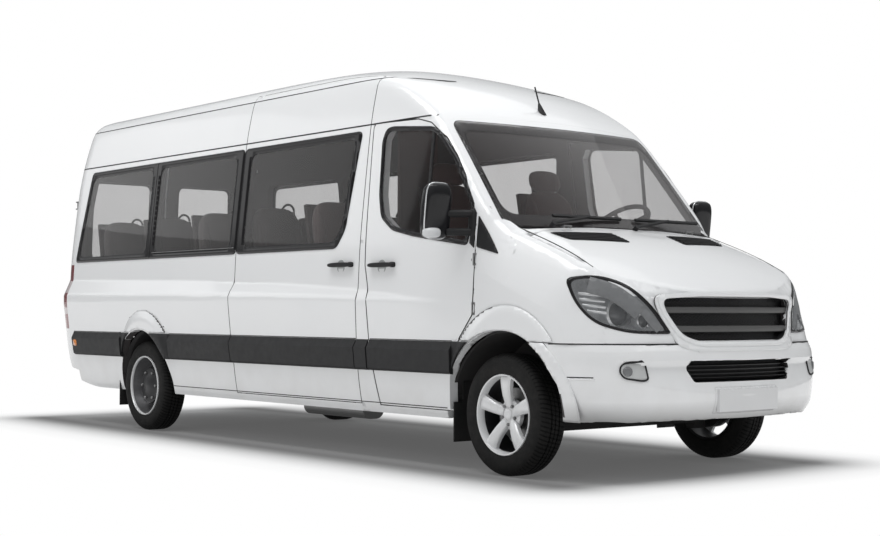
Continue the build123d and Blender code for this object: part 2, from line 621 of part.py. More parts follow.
RAIL_Y = (400.0, 460.0)
RAIL_Z = (510.0, FLOOR_Z - FLOOR_DEPTH)
RAIL_X = (REAR_X + 222.5, 2950.0)
CROSS_X = (RAIL_X[0] + 50, -2500.0, -1150.0, 150.0, 1500.0, 2850.0)
OUTRIGGER_X = (-2900.0, -1150.0, 150.0, 1500.0)
outrigger_z = (RAIL_Z[1] - 60, RAIL_Z[1])
JACK_X = (1300.0, -2650.0)       # lifting pads under the rails
JACK_HALF = 60.0
JACK_DEPTH = 20.0
TOW_HOLE_RADIUS = 6.5            # clearance holes for a tow bar in the rail ends
TOW_HOLE_DEPTH = 40.0
TOW_HOLE_Z = (540.0, 600.0)
HOUSE_WALL = 12.0
HOUSE_INNER_Y = {"front": 560.0, "rear": 690.0}

slab = block((REAR_X, FLOOR_FRONT_X), (-1200, 1200), (FLOOR_Z - FLOOR_DEPTH, FLOOR_Z))
floor = (body_inner & slab) - rear_door_zone(DOOR_GAP)
floor -= block((REAR_X, BODY_REAR_X + WALL), (-1200, 1200), (0, 900))
wheelhouses = []
for name in ARCHES:
    x, z, radius = ARCHES[name][:3]
    inner_y = HOUSE_INNER_Y[name]
    for side_name, side in SIDES:
        span = sorted((side * inner_y, side * 1200))
        floor -= rod_y(x, z, radius, *span)
        tub = rod_y(x, z, radius, *span)
        tub -= rod_y(x, z, radius - HOUSE_WALL, side * (inner_y + HOUSE_WALL), side * 1200)
        if name == "front":
            room = body_inner + (nose_block(NOSE_WALL, 100) & block((x - 180, FRONT_X), (-1200, 1200), (0, 1700)))
            tub -= block((x - 90, x + 60), (-1200, 1200), (0, 530))
        else:
            room = body_inner
        tub = (tub & room) - block((x - 900, x + 900), (-1200, 1200), (0, 440))
        wheelhouses.append(tub - floor)
save("floor", floor)
save("wheelhouses", *wheelhouses)

rail_middle = (RAIL_Y[0] + RAIL_Y[1]) / 2
frame = []
for side_name, side in SIDES:
    rail = block(RAIL_X, sorted((side * RAIL_Y[0], side * RAIL_Y[1])), RAIL_Z)
    for z in TOW_HOLE_Z:
        rail -= rod_x(side * rail_middle, z, TOW_HOLE_RADIUS, RAIL_X[0], RAIL_X[0] + TOW_HOLE_DEPTH)
    frame.append(rail)
    for x in JACK_X:
        pad_y = sorted((side * (RAIL_Y[0] - 10), side * (RAIL_Y[1] + 10)))
        frame.append(block((x - JACK_HALF, x + JACK_HALF), pad_y, (RAIL_Z[0] - JACK_DEPTH, RAIL_Z[0])))
    for x in OUTRIGGER_X:
        frame.append(block((x - 30, x + 30), sorted((side * RAIL_Y[1], side * 880)), outrigger_z))
for x in CROSS_X:
    frame.append(block((x - 35, x + 35), (-RAIL_Y[0], RAIL_Y[0]), (RAIL_Z[0] + 20, RAIL_Z[1])))
save("underframe", *frame)

# ---------------------------------------------------------------- wheels


def tyre(x, y):
    """Tyre as one ring with rounded shoulders and a bead seat on the rim."""
    half = TYRE_WIDTH / 2
    profile = [(RIM_RADIUS - 6, -half + 24), (RIM_RADIUS + 30, -half + 2), (TYRE_RADIUS - 62, -half),
               (TYRE_RADIUS - 18, -half + 12), (TYRE_RADIUS, -half + 34)]
    outline = profile + [(radius, -width) for radius, width in reversed(profile)]
    ring = revolve(Plane.XZ * make_face(Polyline(*outline, close=True)), axis=Axis.Z)
    return Pos(x, y, TYRE_RADIUS) * Rot(90, 0, 0) * ring


def rim_barrel(x, y):
    """Rim's rolled section between the beads, with a drop centre."""
    half = TYRE_WIDTH / 2 - 24
    outline = [(RIM_RADIUS - 6, -half), (RIM_RADIUS - 6, -half + 16), (RIM_RADIUS - 34, -half + 40),
               (RIM_RADIUS - 34, half - 40), (RIM_RADIUS - 6, half - 16), (RIM_RADIUS - 6, half),
               (RIM_RADIUS - 20, half), (RIM_RADIUS - 42, half - 40), (RIM_RADIUS - 42, -half + 40),
               (RIM_RADIUS - 20, -half)]
    ring = revolve(Plane.XZ * make_face(Polyline(*outline, close=True)), axis=Axis.Z)
    return Pos(x, y, TYRE_RADIUS) * Rot(90, 0, 0) * ring


HUB_RADIUS = 62.0
SPOKES = 5
SPOKE_WIDTH = (88.0, 58.0)       # at the hub and at the rim
SPOKE_DEPTH = 30.0
REAR_DISC_SET = 23.5             # rear wheel disc, inboard of the tyre's middle


def alloy_wheel(x, y, side):
    """Front wheel: rim with five broad spokes and a hub, face towards the outside."""
    face = TYRE_WIDTH / 2 - 38
    wheel = Cylinder(HUB_RADIUS, 56)
    wheel = Pos(0, 0, face - 28) * wheel
    inner, outer = SPOKE_WIDTH
    reach = RIM_RADIUS - 38
    spoke = [(0, -inner / 2), (reach, -outer / 2), (reach, outer / 2), (0, inner / 2)]
    bar = Pos(0, 0, face - SPOKE_DEPTH) * extrude(make_face(Polyline(*spoke, close=True)), amount=SPOKE_DEPTH - 4)
    for step in range(SPOKES):
        wheel += Rot(0, 0, 90 + step * 360 / SPOKES) * bar
    turned = Rot(-90 * side, 0, 0) * wheel
    return Pos(x, y, TYRE_RADIUS) * turned + rim_barrel(x, y)


def deep_wheel(x, y, side):
    """Rear wheel: rim with a deep dished disc and a hub cone."""
    disc = Pos(0, 0, -REAR_DISC_SET) * (Cylinder(RIM_RADIUS - 38, 14) - Cylinder(70, 14))
    cone = Pos(0, 0, -REAR_DISC_SET + 45) * Cone(92, 60, 90)
    turned = Rot(-90 * side, 0, 0) * (disc + cone)
    return Pos(x, y, TYRE_RADIUS) * turned + rim_barrel(x, y)


WHEELS = (("front", FRONT_AXLE_X, FRONT_WHEEL_Y, alloy_wheel), ("rear", REAR_AXLE_X, REAR_WHEEL_Y, deep_wheel))
for name, x, y, make in WHEELS:
    for side_name, side in SIDES:
        save(f"tyre_{name}_{side_name}", tyre(x, side * y))
        save(f"wheel_{name}_{side_name}", make(x, side * y, side))

# ---------------------------------------------------------------- axles, knuckles and driveline

KINGPIN_Y = 700.0
KINGPIN_RADIUS = 14.0
UPRIGHT_RADIUS = 45.0
UPRIGHT_Z = (250.0, 446.0)
YOKE_Z = (200.0, 490.0)          # outer faces of the beam's two yokes
YOKE_RADIUS = 30.0
SPINDLE_RADIUS = 32.0
for side_name, side in SIDES:
    hub_y = FRONT_WHEEL_Y + (TYRE_WIDTH / 2 - 38) - 56
    kingpin_y = side * KINGPIN_Y
    upright = rod_z(FRONT_AXLE_X, kingpin_y, UPRIGHT_RADIUS, *UPRIGHT_Z)
    upright += rod_z(FRONT_AXLE_X, kingpin_y, KINGPIN_RADIUS, *YOKE_Z)
    spindle = rod_y(FRONT_AXLE_X, TYRE_RADIUS, SPINDLE_RADIUS, kingpin_y, side * (hub_y - FIT))
    disc = rod_y(FRONT_AXLE_X, TYRE_RADIUS, 150, side * 745, side * 767)
    arm = block((FRONT_AXLE_X - 190, FRONT_AXLE_X - 40), sorted((side * 680, side * 710)), (300, 330))
    save(f"knuckle_{side_name}", upright + spindle + disc + arm)

beam = block((FRONT_AXLE_X - 50, FRONT_AXLE_X + 50), (-640, 640), (240, 300))
yoke_x = (FRONT_AXLE_X - YOKE_RADIUS, FRONT_AXLE_X + YOKE_RADIUS)
for side_name, side in SIDES:
    for z_span in ((YOKE_Z[0], UPRIGHT_Z[0] - FIT), (UPRIGHT_Z[1] + FIT, YOKE_Z[1])):
        beam += block(yoke_x, sorted((side * 610, side * KINGPIN_Y)), z_span)
        beam += rod_z(FRONT_AXLE_X, side * KINGPIN_Y, YOKE_RADIUS, *z_span)
    beam += block((FRONT_AXLE_X - 20, FRONT_AXLE_X + 40), sorted((side * 610, side * 650)), (200, 510))
    beam += block((FRONT_AXLE_X - 50, FRONT_AXLE_X + 50), sorted((side * 380, side * 620)), (450, RAIL_Z[0]))
    beam -= rod_z(FRONT_AXLE_X, side * KINGPIN_Y, KINGPIN_RADIUS + FIT, YOKE_Z[0] - 10, YOKE_Z[1] + 40)
save("front_axle", beam)

axle = rod_y(REAR_AXLE_X, TYRE_RADIUS, 48, -REAR_WHEEL_Y + 60, REAR_WHEEL_Y - 60)
axle += Pos(REAR_AXLE_X, 0, TYRE_RADIUS) * Sphere(150)
for side_name, side in SIDES:
    axle += rod_y(REAR_AXLE_X, TYRE_RADIUS, 130, side * 760, side * 790)
    axle += rod_y(REAR_AXLE_X, TYRE_RADIUS, 60, side * 780, side * (REAR_WHEEL_Y - REAR_DISC_SET - FIT))
    spring_z = (TYRE_RADIUS + 40, TYRE_RADIUS + 75)
    axle += block((REAR_AXLE_X - 650, REAR_AXLE_X + 650), sorted((side * 395, side * 465)), spring_z)
    for x in (REAR_AXLE_X - 640, REAR_AXLE_X + 640):
        axle += block((x - 12, x + 12), sorted((side * 395, side * 465)), (TYRE_RADIUS + 70, RAIL_Z[0]))
save("rear_axle", axle)

# ---------------------------------------------------------------- engine and driveline

engine = block((2560, 3150), (-330, 330), (430, 1050))
for member in frame:
    engine -= member
save("engine", engine)
gearbox = block((1900, 2560), (-150, 150), (440, FLOOR_Z - FLOOR_DEPTH - 10))
shaft = rod_x(0, TYRE_RADIUS + 110, 38, REAR_AXLE_X + 60, 1900) - axle
save("driveline", gearbox + shaft)
EXHAUST_Y = -610.0
SILENCER = ((20.0, 740.0), (EXHAUST_Y - 85, EXHAUST_Y + 85), (215.0, 465.0))
silencer = block(*SILENCER)
silencer = fillet(silencer.edges().filter_by(Axis.X), 60)
pipe = rod_x(EXHAUST_Y, 430, 30, REAR_X + 322.5, SILENCER[0][0] + 5) + silencer
for x in (-2900.0, -1150.0):
    pipe += block((x - 15, x + 15), (EXHAUST_Y - 20, EXHAUST_Y + 20), (440, outrigger_z[0]))
pipe += block((135, 165), (EXHAUST_Y - 20, EXHAUST_Y + 20), (SILENCER[2][1] - 5, outrigger_z[0]))
save("exhaust", pipe)
save("fuel_tank", block((130, 1520), (480, 830), (330, outrigger_z[0])))

# ---------------------------------------------------------------- cab: bulkhead, dashboard, steering wheel

DASH_OUTLINE = ((FLOOR_FRONT_X, 760.0), (2330.0, 780.0), (2230.0, 1080.0), (2080.0, 1180.0), (2040.0, 1270.0),
                (2120.0, 1345.0), (2330.0, 1370.0), (FLOOR_FRONT_X, 1330.0))
dash = (prism_y(DASH_OUTLINE, -1100, 1100) & body_block(WALL + 12, 100)) - nose_shell - wheelhouses
dash = dash.solids().sort_by(SortBy.VOLUME)[-1]
STEER_CENTRE = (2040.0, 420.0, 1495.0)
STEER_TILT = 35.0                # column from the vertical
STEER_RADIUS = 195.0
STEER_TUBE = 16.0
steer_place = Pos(*STEER_CENTRE) * Rot(0, -STEER_TILT, 0)
steering = Torus(STEER_RADIUS, STEER_TUBE) + Pos(0, 0, -20) * Cylinder(52, 44)
for turn in (90, 210, 330):
    steering += Rot(0, 0, turn) * (Pos(STEER_RADIUS / 2 + 10, 0, -12) * Box(STEER_RADIUS - 20, 34, 14))
save("steering_wheel", steer_place * steering)
column = steer_place * (Pos(0, 0, -42 - FIT - 140) * Cylinder(38, 280))
save("dashboard", dash + column)

# ---------------------------------------------------------------- seats

SEAT_WIDTH = 420.0
# x of the seat's origin, y of its middle, lift of the seat above the floor
ROW_X = (420.0, -370.0, -1160.0, -1950.0, -2780.0)
ROW_Y = (-640.0, 205.0, 640.0)
SEATS = [(1420.0, 420.0, 70.0), (1420.0, -420.0, 70.0)]
SEATS += [(x, y, 0.0) for x in ROW_X for y in ROW_Y]
SEATS.append((ROW_X[-1], -217.5, 0.0))
SEAT_LEG = 300.0                 # floor to the underside of the seat pan
PAN = ((-50, 300), (430, 300), (430, 330), (-50, 330))
BACK_FRAME = ((-50, 330), (-12, 330), (-151, 985), (-186, 978))
SPINE = ((-186, 978), (-151, 985), (-181, 1110), (-201, 1106))
CUSHION = ((-10, 330), (440, 330), (452, 395), (430, 440), (-30, 440))
BACK = ((-35.5, 441), (60, 441), (75, 525), (-48, 965), (-72, 995), (-151, 985))
HEAD = ((-155.7, 1005), (-76, 1010), (-84, 1100), (-116, 1140), (-181, 1140), (-181, 1110))
pads = []
frames = []
for x, y, lift in SEATS:
    def placed(outline, half):
        """One seat piece: side outline in the seat's own x, z, carried across its width."""
        points = [(x + px, FLOOR_Z + lift + pz) for px, pz in outline]
        return prism_y(points, y - half, y + half)
    pads.append(placed(CUSHION, SEAT_WIDTH / 2))
    pads.append(placed(BACK, SEAT_WIDTH / 2 - 10))
    frames.append(placed(PAN, SEAT_WIDTH / 2 - 5))
    frames.append(placed(BACK_FRAME, SEAT_WIDTH / 2 - 5))
    inward = -1 if y > 0 else 1
    if lift:
        pads.append(placed(HEAD, 125))
        frames.append(placed(SPINE, 60))
        frames.append(block((x + 20, x + 400), (y - 190, y + 190), (FLOOR_Z, FLOOR_Z + lift + SEAT_LEG)))
    else:
        leg_y = (y - 150, y + 150) if abs(y) < 500 else (y + inward * 30, y + inward * 180)
        for low in leg_y:
            frames.append(block((x + 60, x + 340), (low - 12, low + 12), (FLOOR_Z, FLOOR_Z + SEAT_LEG)))
save("seat_pads", *pads)
save("seat_frames", *frames)

# ---------------------------------------------------------------- grille, plates, mirrors and small pieces

SLATS = ((815.0, 868.0), (893.0, 946.0))
grille = (nose_block(14, 200) - nose_block(32, 100)) & grille_opening
slat_layer = nose_block(1, 200) - nose_block(15, 100)
for z_span in SLATS:
    grille += slat_layer & grille_opening & block((FENDER_END_X, PAST_FRONT_X), (-900, 900), z_span)
intake_mesh = (bumper_block(15, 200) - bumper_block(30, 100)) & intake_opening
save("grille", grille, intake_mesh)

plate_half, plate_tall = PLATE_SIZE[0] / 2, PLATE_SIZE[1] / 2
plate = block((FRONT_X - 20, FRONT_X), (-plate_half, plate_half), (PLATE_Z - plate_tall, PLATE_Z + plate_tall))
save("plate_front", plate)
save("bumper_front", bumper_front - plate)

MIRROR_HEAD = ((2020.0, 2130.0), (1035.0, 1213.0), (1350.0, 1680.0))
MIRROR_ARM = ((2184.0, 880.0), (2203.0, 880.0), (2115.0, 1075.0), (2085.0, 1075.0))
for name, side in SIDES:
    head = block(MIRROR_HEAD[0], sorted((side * MIRROR_HEAD[1][0], side * MIRROR_HEAD[1][1])), MIRROR_HEAD[2])
    head = fillet(head.edges().filter_by(Axis.Z) + head.edges().filter_by(Axis.X), 28)
    arm_outline = [(x, side * y) for x, y in MIRROR_ARM]
    arms = prism_z(arm_outline, 1375, 1415) + prism_z(arm_outline, 1490, 1515)
    save(f"mirror_{name}", head + (arms - body_outer))

screen_angle = math.degrees(math.atan2(SCREEN_TOP[1] - SCREEN_BASE[1], SCREEN_BASE[0] - SCREEN_TOP[0]))
screen_plane = Pos(SCREEN_BASE[0], 0, SCREEN_BASE[1]) * Rot(0, screen_angle, 0)
wipers = []
for y in (-620.0, 60.0):
    blade = Pos(-78, y + 330, 16) * Box(16, 560, 14)
    arm = Pos(-35, y + 165, 30) * Rot(0, 0, 12) * Box(14, 345, 14)
    pivot = Pos(4, y, 16) * Cylinder(16, 44)
    wipers.append(screen_plane * (blade + arm + pivot) - body_outer - nose_outer)
save("wipers", *wipers)

ANTENNA_X = 1731.0
mast = Pos(0, 0, 10) * Cone(30, 8, 90) + Pos(0, 0, 90) * Cylinder(5, 170)
mast = Pos(ANTENNA_X, 0, 2228) * Rot(0, -20, 0) * mast
save("antenna", mast - body_outer)

flaps = []
for side_name, side in SIDES:
    front_flap = block((2012, 2020), sorted((side * 780, side * 938)), (165, 400))
    front_flap += block((2012, 2020), sorted((side * 780, side * 870)), (400, 530))
    rear_flap = block((-2322, -2314), sorted((side * 790, side * 945)), (173, 470))
    flaps.append(front_flap - built[f"wing_{side_name}"] - cab_frame - wheelhouses)
    flaps.append(rear_flap - built[f"side_{side_name}"] - wheelhouses)
save("mud_flaps", *flaps)
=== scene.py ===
"""Minibus: finishes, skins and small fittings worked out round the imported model.

Frame: +X forward, +Y left, +Z up, metres, origin on the ground under the middle of the length.
"""
import json
import math

import bpy
import bmesh
import numpy as np
from mathutils import Matrix, Vector
from mathutils.geometry import delaunay_2d_cdt


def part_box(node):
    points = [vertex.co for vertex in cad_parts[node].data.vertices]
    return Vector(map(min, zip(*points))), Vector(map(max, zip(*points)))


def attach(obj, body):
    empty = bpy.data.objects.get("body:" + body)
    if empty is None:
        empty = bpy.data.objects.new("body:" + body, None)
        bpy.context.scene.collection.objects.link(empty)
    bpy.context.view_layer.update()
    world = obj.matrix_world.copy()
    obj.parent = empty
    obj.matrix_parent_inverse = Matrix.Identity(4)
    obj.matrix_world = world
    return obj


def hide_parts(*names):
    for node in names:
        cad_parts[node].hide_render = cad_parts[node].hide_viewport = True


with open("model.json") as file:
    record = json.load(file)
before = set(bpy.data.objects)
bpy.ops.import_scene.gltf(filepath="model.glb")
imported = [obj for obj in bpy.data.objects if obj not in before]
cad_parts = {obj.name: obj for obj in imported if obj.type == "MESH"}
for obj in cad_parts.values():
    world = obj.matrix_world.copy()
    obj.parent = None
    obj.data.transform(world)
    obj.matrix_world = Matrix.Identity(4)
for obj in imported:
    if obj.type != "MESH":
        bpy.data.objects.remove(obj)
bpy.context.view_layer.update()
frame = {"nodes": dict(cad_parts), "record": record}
nodes = frame["nodes"]
SIDES = (("right", -1.0), ("left", 1.0))

# ---------------------------------------------------------------- camera, floor and light

IMAGE = (880.0, 536.0)
CAMERA_PLACE = (8.9955, -6.4755, 0.9326)
CAMERA_YAW = 49.886
CAMERA_TILT = 91.789
CAMERA_ROLL = 0.124
FOCAL_PIXELS = 1508.05
PRINCIPAL = (498.68, 264.47)
SENSOR_WIDTH = 36.0

lens = bpy.data.cameras.new("camera")
lens.sensor_width = SENSOR_WIDTH
lens.lens = SENSOR_WIDTH * FOCAL_PIXELS / IMAGE[0]
lens.shift_x = (IMAGE[0] / 2 - PRINCIPAL[0]) / IMAGE[0]
lens.shift_y = (PRINCIPAL[1] - IMAGE[1] / 2) / IMAGE[0]
lens.clip_end = 200.0
camera = bpy.data.objects.new("camera", lens)
yaw = Matrix.Rotation(math.radians(CAMERA_YAW), 4, "Z")
tilt = Matrix.Rotation(math.radians(CAMERA_TILT), 4, "X")
roll = Matrix.Rotation(math.radians(CAMERA_ROLL), 4, "Z")
camera.matrix_world = Matrix.Translation(CAMERA_PLACE) @ (yaw @ tilt) @ roll
bpy.context.scene.collection.objects.link(camera)
bpy.context.scene.camera = camera
bpy.context.scene.view_settings.view_transform = "Standard"


class Value:
    """A shader socket that takes part in plain arithmetic; each operation adds one Math node."""

    def __init__(self, finish, socket):
        self.finish = finish
        self.socket = socket

    def math(self, operation, *others):
        """This value and others put through one Math operation."""
        return self.finish.node("ShaderNodeMath", {"operation": operation}, {
            i: v for i, v in enumerate((self,) + others)})[0]

    def __add__(self, other):
        return self.math("ADD", other)

    def __mul__(self, other):
        return self.math("MULTIPLY", other)

    def __sub__(self, other):
        return self.math("SUBTRACT", other)

    def __gt__(self, other):
        return self.math("GREATER_THAN", other)

    def __lt__(self, other):
        return self.math("LESS_THAN", other)

    def __rsub__(self, other):
        return (self * -1.0) + other

    def __pow__(self, other):
        return self.math("POWER", other)

    def __abs__(self):
        return self.math("ABSOLUTE")

    __radd__ = __add__
    __rmul__ = __mul__

    def held(self, low=0.0, high=1.0):
        """This value kept between two limits."""
        return self.math("MAXIMUM", low).math("MINIMUM", high)

    def ramp(self, low, high):
        """0 below low, 1 above high, and a straight line between."""
        return ((self - low) * (1.0 / (high - low))).held()


class Finish:
    """One procedural material: a principled shader and the nodes that feed it."""

    def __init__(self, name, color=(0.8, 0.8, 0.8), roughness=0.5, metallic=0.0, **sockets):
        self.material = bpy.data.materials.new(name)
        self.material.use_nodes = True
        self.tree = self.material.node_tree
        self.tree.nodes.clear()
        self.output = self.tree.nodes.new("ShaderNodeOutputMaterial")
        self.shader = self.tree.nodes.new("ShaderNodeBsdfPrincipled")
        self.tree.links.new(self.shader.outputs[0], self.output.inputs[0])
        self.shader.inputs["Base Color"].default_value = (*color, 1.0)
        self.shader.inputs["Roughness"].default_value = roughness
        self.shader.inputs["Metallic"].default_value = metallic
        for key, value in sockets.items():
            self.shader.inputs[key.replace("_", " ")].default_value = value

    def node(self, kind, settings=None, inputs=None):
        """Adds a node; returns its outputs as values."""
        made = self.tree.nodes.new(kind)
        for key, value in (settings or {}).items():
            setattr(made, key, value)
        for key, value in (inputs or {}).items():
            self.put(made.inputs[key], value)
        return [Value(self, socket) for socket in made.outputs]

    def put(self, socket, value):
        """Links a value to a socket, or writes a constant on it."""
        if isinstance(value, Value):
            self.tree.links.new(value.socket, socket)
        elif isinstance(value, tuple) and len(socket.default_value) == 4 and len(value) == 3:
            socket.default_value = (*value, 1.0)
        else:
            socket.default_value = value

    def feed(self, **sockets):
        """Feeds values into sockets of the principled shader."""
        for key, value in sockets.items():
            self.put(self.shader.inputs[key.replace("_", " ")], value)
        return self

    def spot(self):
        """Object coordinates as one vector."""
        return self.node("ShaderNodeTexCoord")[3]

    def place(self):
        """Object coordinates as x, y, z values."""
        return self.node("ShaderNodeSeparateXYZ", None, {0: self.spot()})

    def outward(self, centre):
        """Above 0 where the surface looks away from the centre point, in object space."""
        coordinates = self.node("ShaderNodeTexCoord")
        arm = self.node("ShaderNodeVectorMath", {"operation": "SUBTRACT"}, {0: coordinates[3], 1: centre})[0]
        return self.node("ShaderNodeVectorMath", {"operation": "DOT_PRODUCT"}, {0: arm, 1: coordinates[1]})[1]

    def noise(self, scale, detail=3.0, roughness=0.5):
        """Noise on object coordinates, 0 to 1."""
        return self.node("ShaderNodeTexNoise", None, {
            "Vector": self.spot(), "Scale": scale, "Detail": detail, "Roughness": roughness})[0]

    def mixed(self, factor, first, second):
        """Colour that goes from first to second with the factor."""
        return self.node("ShaderNodeMix", {"data_type": "RGBA"}, {0: factor, 6: first, 7: second})[2]

    def bump(self, height, strength=0.3, distance=0.001):
        """Feeds a height into the normal."""
        normal = self.node("ShaderNodeBump", None, {
            "Height": height, "Strength": strength, "Distance": distance})[0]
        return self.feed(Normal=normal)


FLOOR_HALF = 60.0
FLOOR_COLOR = (0.80, 0.80, 0.80)
FLOOR_GLOW = 0.10
FLOOR_FADE = (0.15, 0.85)
# painted shadow on the floor: its footprint and its two colours
PAINTED_SHADOW_CENTRE_X = -0.30
PAINTED_SHADOW_HALF_LENGTH = 3.30
PAINTED_SHADOW_HALF_WIDTH = 1.00
PAINTED_SHADOW_UNDER = (0.44, 0.44, 0.44)
PAINTED_SHADOW_ALONG_SIDES = (0.12, 0.12, 0.12)
WORLD_COLOR = (0.97, 0.985, 1.0, 1.0)
WORLD_HEIGHT = (-0.1, 0.6)
WORLD_LIGHT = (0.10, 0.57)
WHITE = (1.0, 1.0, 1.0)
SOFT_BOXES = (                   # name, place, aim, width, height, power
    ("overhead", (-0.5, 2.6, 8.0), (0.0, 0.0, 0.0), 11.0, 6.0, 125.0),
    ("nose_top", (7.2, 0.6, 7.5), (3.2, 0.0, 0.8), 5.0, 3.0, 75.0),
    ("rear_card", (-9.0, -5.5, 4.2), (-1.0, -1.0, 1.2), 5.0, 3.0, 40.0),
    ("near_top", (0.8, -3.6, 8.8), (0.4, -0.6, 1.2), 10.0, 2.5, 395.0),
)


def pale_floor():
    """Pale floor with a painted shadow, darker under the vehicle and darkest along its sides; the floor fades
    into the backdrop away from it.
    """
    size = FLOOR_HALF
    mesh = bpy.data.meshes.new("floor")
    mesh.from_pydata([(-size, -size, 0), (size, -size, 0), (size, size, 0), (-size, size, 0)], [],
                     [(0, 1, 2, 3)])
    floor = bpy.data.objects.new("studio_floor", mesh)
    bpy.context.scene.collection.objects.link(floor)
    pale = Finish("studio_floor", (0.78, 0.78, 0.78), 0.9, Specular_IOR_Level=0.0)
    pale.feed(Emission_Color=WHITE, Emission_Strength=FLOOR_GLOW)
    x, y = pale.place()[:2]
    past_end = (abs(x - PAINTED_SHADOW_CENTRE_X) - PAINTED_SHADOW_HALF_LENGTH).math("MAXIMUM", 0.0)
    past_side = (abs(y) - PAINTED_SHADOW_HALF_WIDTH).math("MAXIMUM", 0.0)
    away = (past_end * past_end + past_side * past_side) ** 0.5
    # painted shadow: the floor colour darkens under the vehicle, most along its sides
    below = pale.mixed(abs(y).ramp(0.5, 1.0), PAINTED_SHADOW_UNDER, PAINTED_SHADOW_ALONG_SIDES)
    pale.feed(Base_Color=pale.mixed(away.ramp(0.05, 0.60), below, FLOOR_COLOR))
    glow = pale.node("ShaderNodeEmission", None, {0: WHITE, 1: 1.0})[0]
    blend = pale.tree.nodes.new("ShaderNodeMixShader")
    pale.put(blend.inputs[0], away.ramp(*FLOOR_FADE))
    pale.tree.links.new(pale.shader.outputs[0], blend.inputs[1])
    pale.tree.links.new(glow.socket, blend.inputs[2])
    pale.tree.links.new(blend.outputs[0], pale.output.inputs[0])
    floor.data.materials.append(pale.material)


def pale_world():
    """Backdrop: white to the camera and through glass; a soft light that grows with height for the rest."""
    world = bpy.data.worlds.new("studio")
    world.use_nodes = True
    tree = world.node_tree
    tree.nodes.clear()

    def added(kind, *sockets):
        """A new node with these output sockets linked to its first inputs; None leaves one free."""
        node = tree.nodes.new(kind)
        for number, socket in enumerate(sockets):
            if socket:
                tree.links.new(socket, node.inputs[number])
        return node

    path = added("ShaderNodeLightPath")
    seen = added("ShaderNodeMath", path.outputs["Is Camera Ray"], path.outputs["Is Transmission Ray"])
    seen.operation = "MAXIMUM"
    sky = added("ShaderNodeTexCoord")
    split = added("ShaderNodeSeparateXYZ", sky.outputs["Generated"])
    height = added("ShaderNodeMapRange", split.outputs[2])
    for number, value in enumerate(WORLD_HEIGHT + WORLD_LIGHT):
        height.inputs[number + 1].default_value = value
    lit = added("ShaderNodeBackground", None, height.outputs[0])
    lit.inputs[0].default_value = WORLD_COLOR
    white = added("ShaderNodeBackground")
    white.inputs[0].default_value = (*WHITE, 1.0)
    white.inputs[1].default_value = 1.0
    mix = added("ShaderNodeMixShader", seen.outputs[0], lit.outputs[0], white.outputs[0])
    added("ShaderNodeOutputWorld", mix.outputs[0])
    bpy.context.scene.world = world


def soft_lights():
    """Wide soft boxes, each turned to its aim."""
    for name, place, aim, width, height, power in SOFT_BOXES:
        lamp = bpy.data.lights.new(name, "AREA")
        lamp.shape = "RECTANGLE"
        lamp.size = width
        lamp.size_y = height
        lamp.energy = power
        box = bpy.data.objects.new(name, lamp)
        look = (Vector(aim) - Vector(place)).to_track_quat("-Z", "Y")
        box.matrix_world = Matrix.Translation(place) @ look.to_matrix().to_4x4()
        bpy.context.scene.collection.objects.link(box)


pale_floor()
pale_world()
soft_lights()

# ---------------------------------------------------------------- finishes

BODY_MIDDLE = (0.0, 0.0, 1.3)


def body_paint():
    """White gloss paint outside with a faint road film low down and painted shade under the front bumper;
    dark trim inside.
    """
    paint = Finish("body_paint", roughness=0.28, Coat_Weight=0.6, Coat_Roughness=0.06)
    x, _, z = paint.place()
    cloud = paint.noise(1.7, 4.0)
    white = paint.mixed(cloud, (0.80, 0.81, 0.82), (0.84, 0.845, 0.85))
    film = (1.0 - z.ramp(0.25, 0.95)) * paint.noise(6.0, 5.0).ramp(0.35, 0.8) * 0.35
    white = paint.mixed(film, white, (0.62, 0.61, 0.59))
    # painted shade: the front bumper's lowest part turns dark towards its underside
    white = paint.mixed((1.0 - z.ramp(0.32, 0.45)) * x.ramp(2.7, 3.15) * 0.88, white, (0.16, 0.16, 0.155))
    inside = paint.outward(BODY_MIDDLE) < -0.02
    paint.feed(Base_Color=paint.mixed(inside, white, (0.055, 0.05, 0.05)))
    paint.feed(Roughness=paint.noise(40.0, 2.0) * 0.05 + 0.22 + inside * 0.45, Coat_Weight=0.6 - inside * 0.6)
    return paint.bump(paint.noise(260.0, 2.0), 0.05, 0.0004).material


def moulded(name, dark, light, grain=700.0, roughness=0.55, strength=0.35):
    """Moulded plastic: fine grain, slight tone changes and wear."""
    plastic = Finish(name, Specular_IOR_Level=0.3)
    plastic.feed(Base_Color=plastic.mixed(plastic.noise(9.0, 4.0), dark, light))
    plastic.feed(Roughness=plastic.noise(22.0, 3.0) * 0.2 + (roughness - 0.1))
    return plastic.bump(plastic.noise(grain, 2.0, 0.6), strength, 0.0006).material


def tinted_glass(name, color, clear, seen, painted_sheen=0.0):
    """See-through pane: darker and glossier where it is looked along, and paler there by a painted sheen that
    stands in for reflected light.
    """
    glass = Finish(name, color, 0.03, Specular_IOR_Level=0.8)
    facing = glass.node("ShaderNodeLayerWeight", None, {0: 0.30})[1]
    slant = facing.ramp(0.25, 0.44)
    glass.feed(Alpha=(facing ** 3.0 * (1.0 - seen) + seen + slant * painted_sheen * 0.5).held())
    tint = glass.mixed(glass.noise(2.5, 2.0), color, clear)
    # painted reflection: the tint turns paler where the pane is looked along
    glass.feed(Base_Color=glass.mixed(slant, tint, tuple(c + painted_sheen for c in color)))
    return glass.material


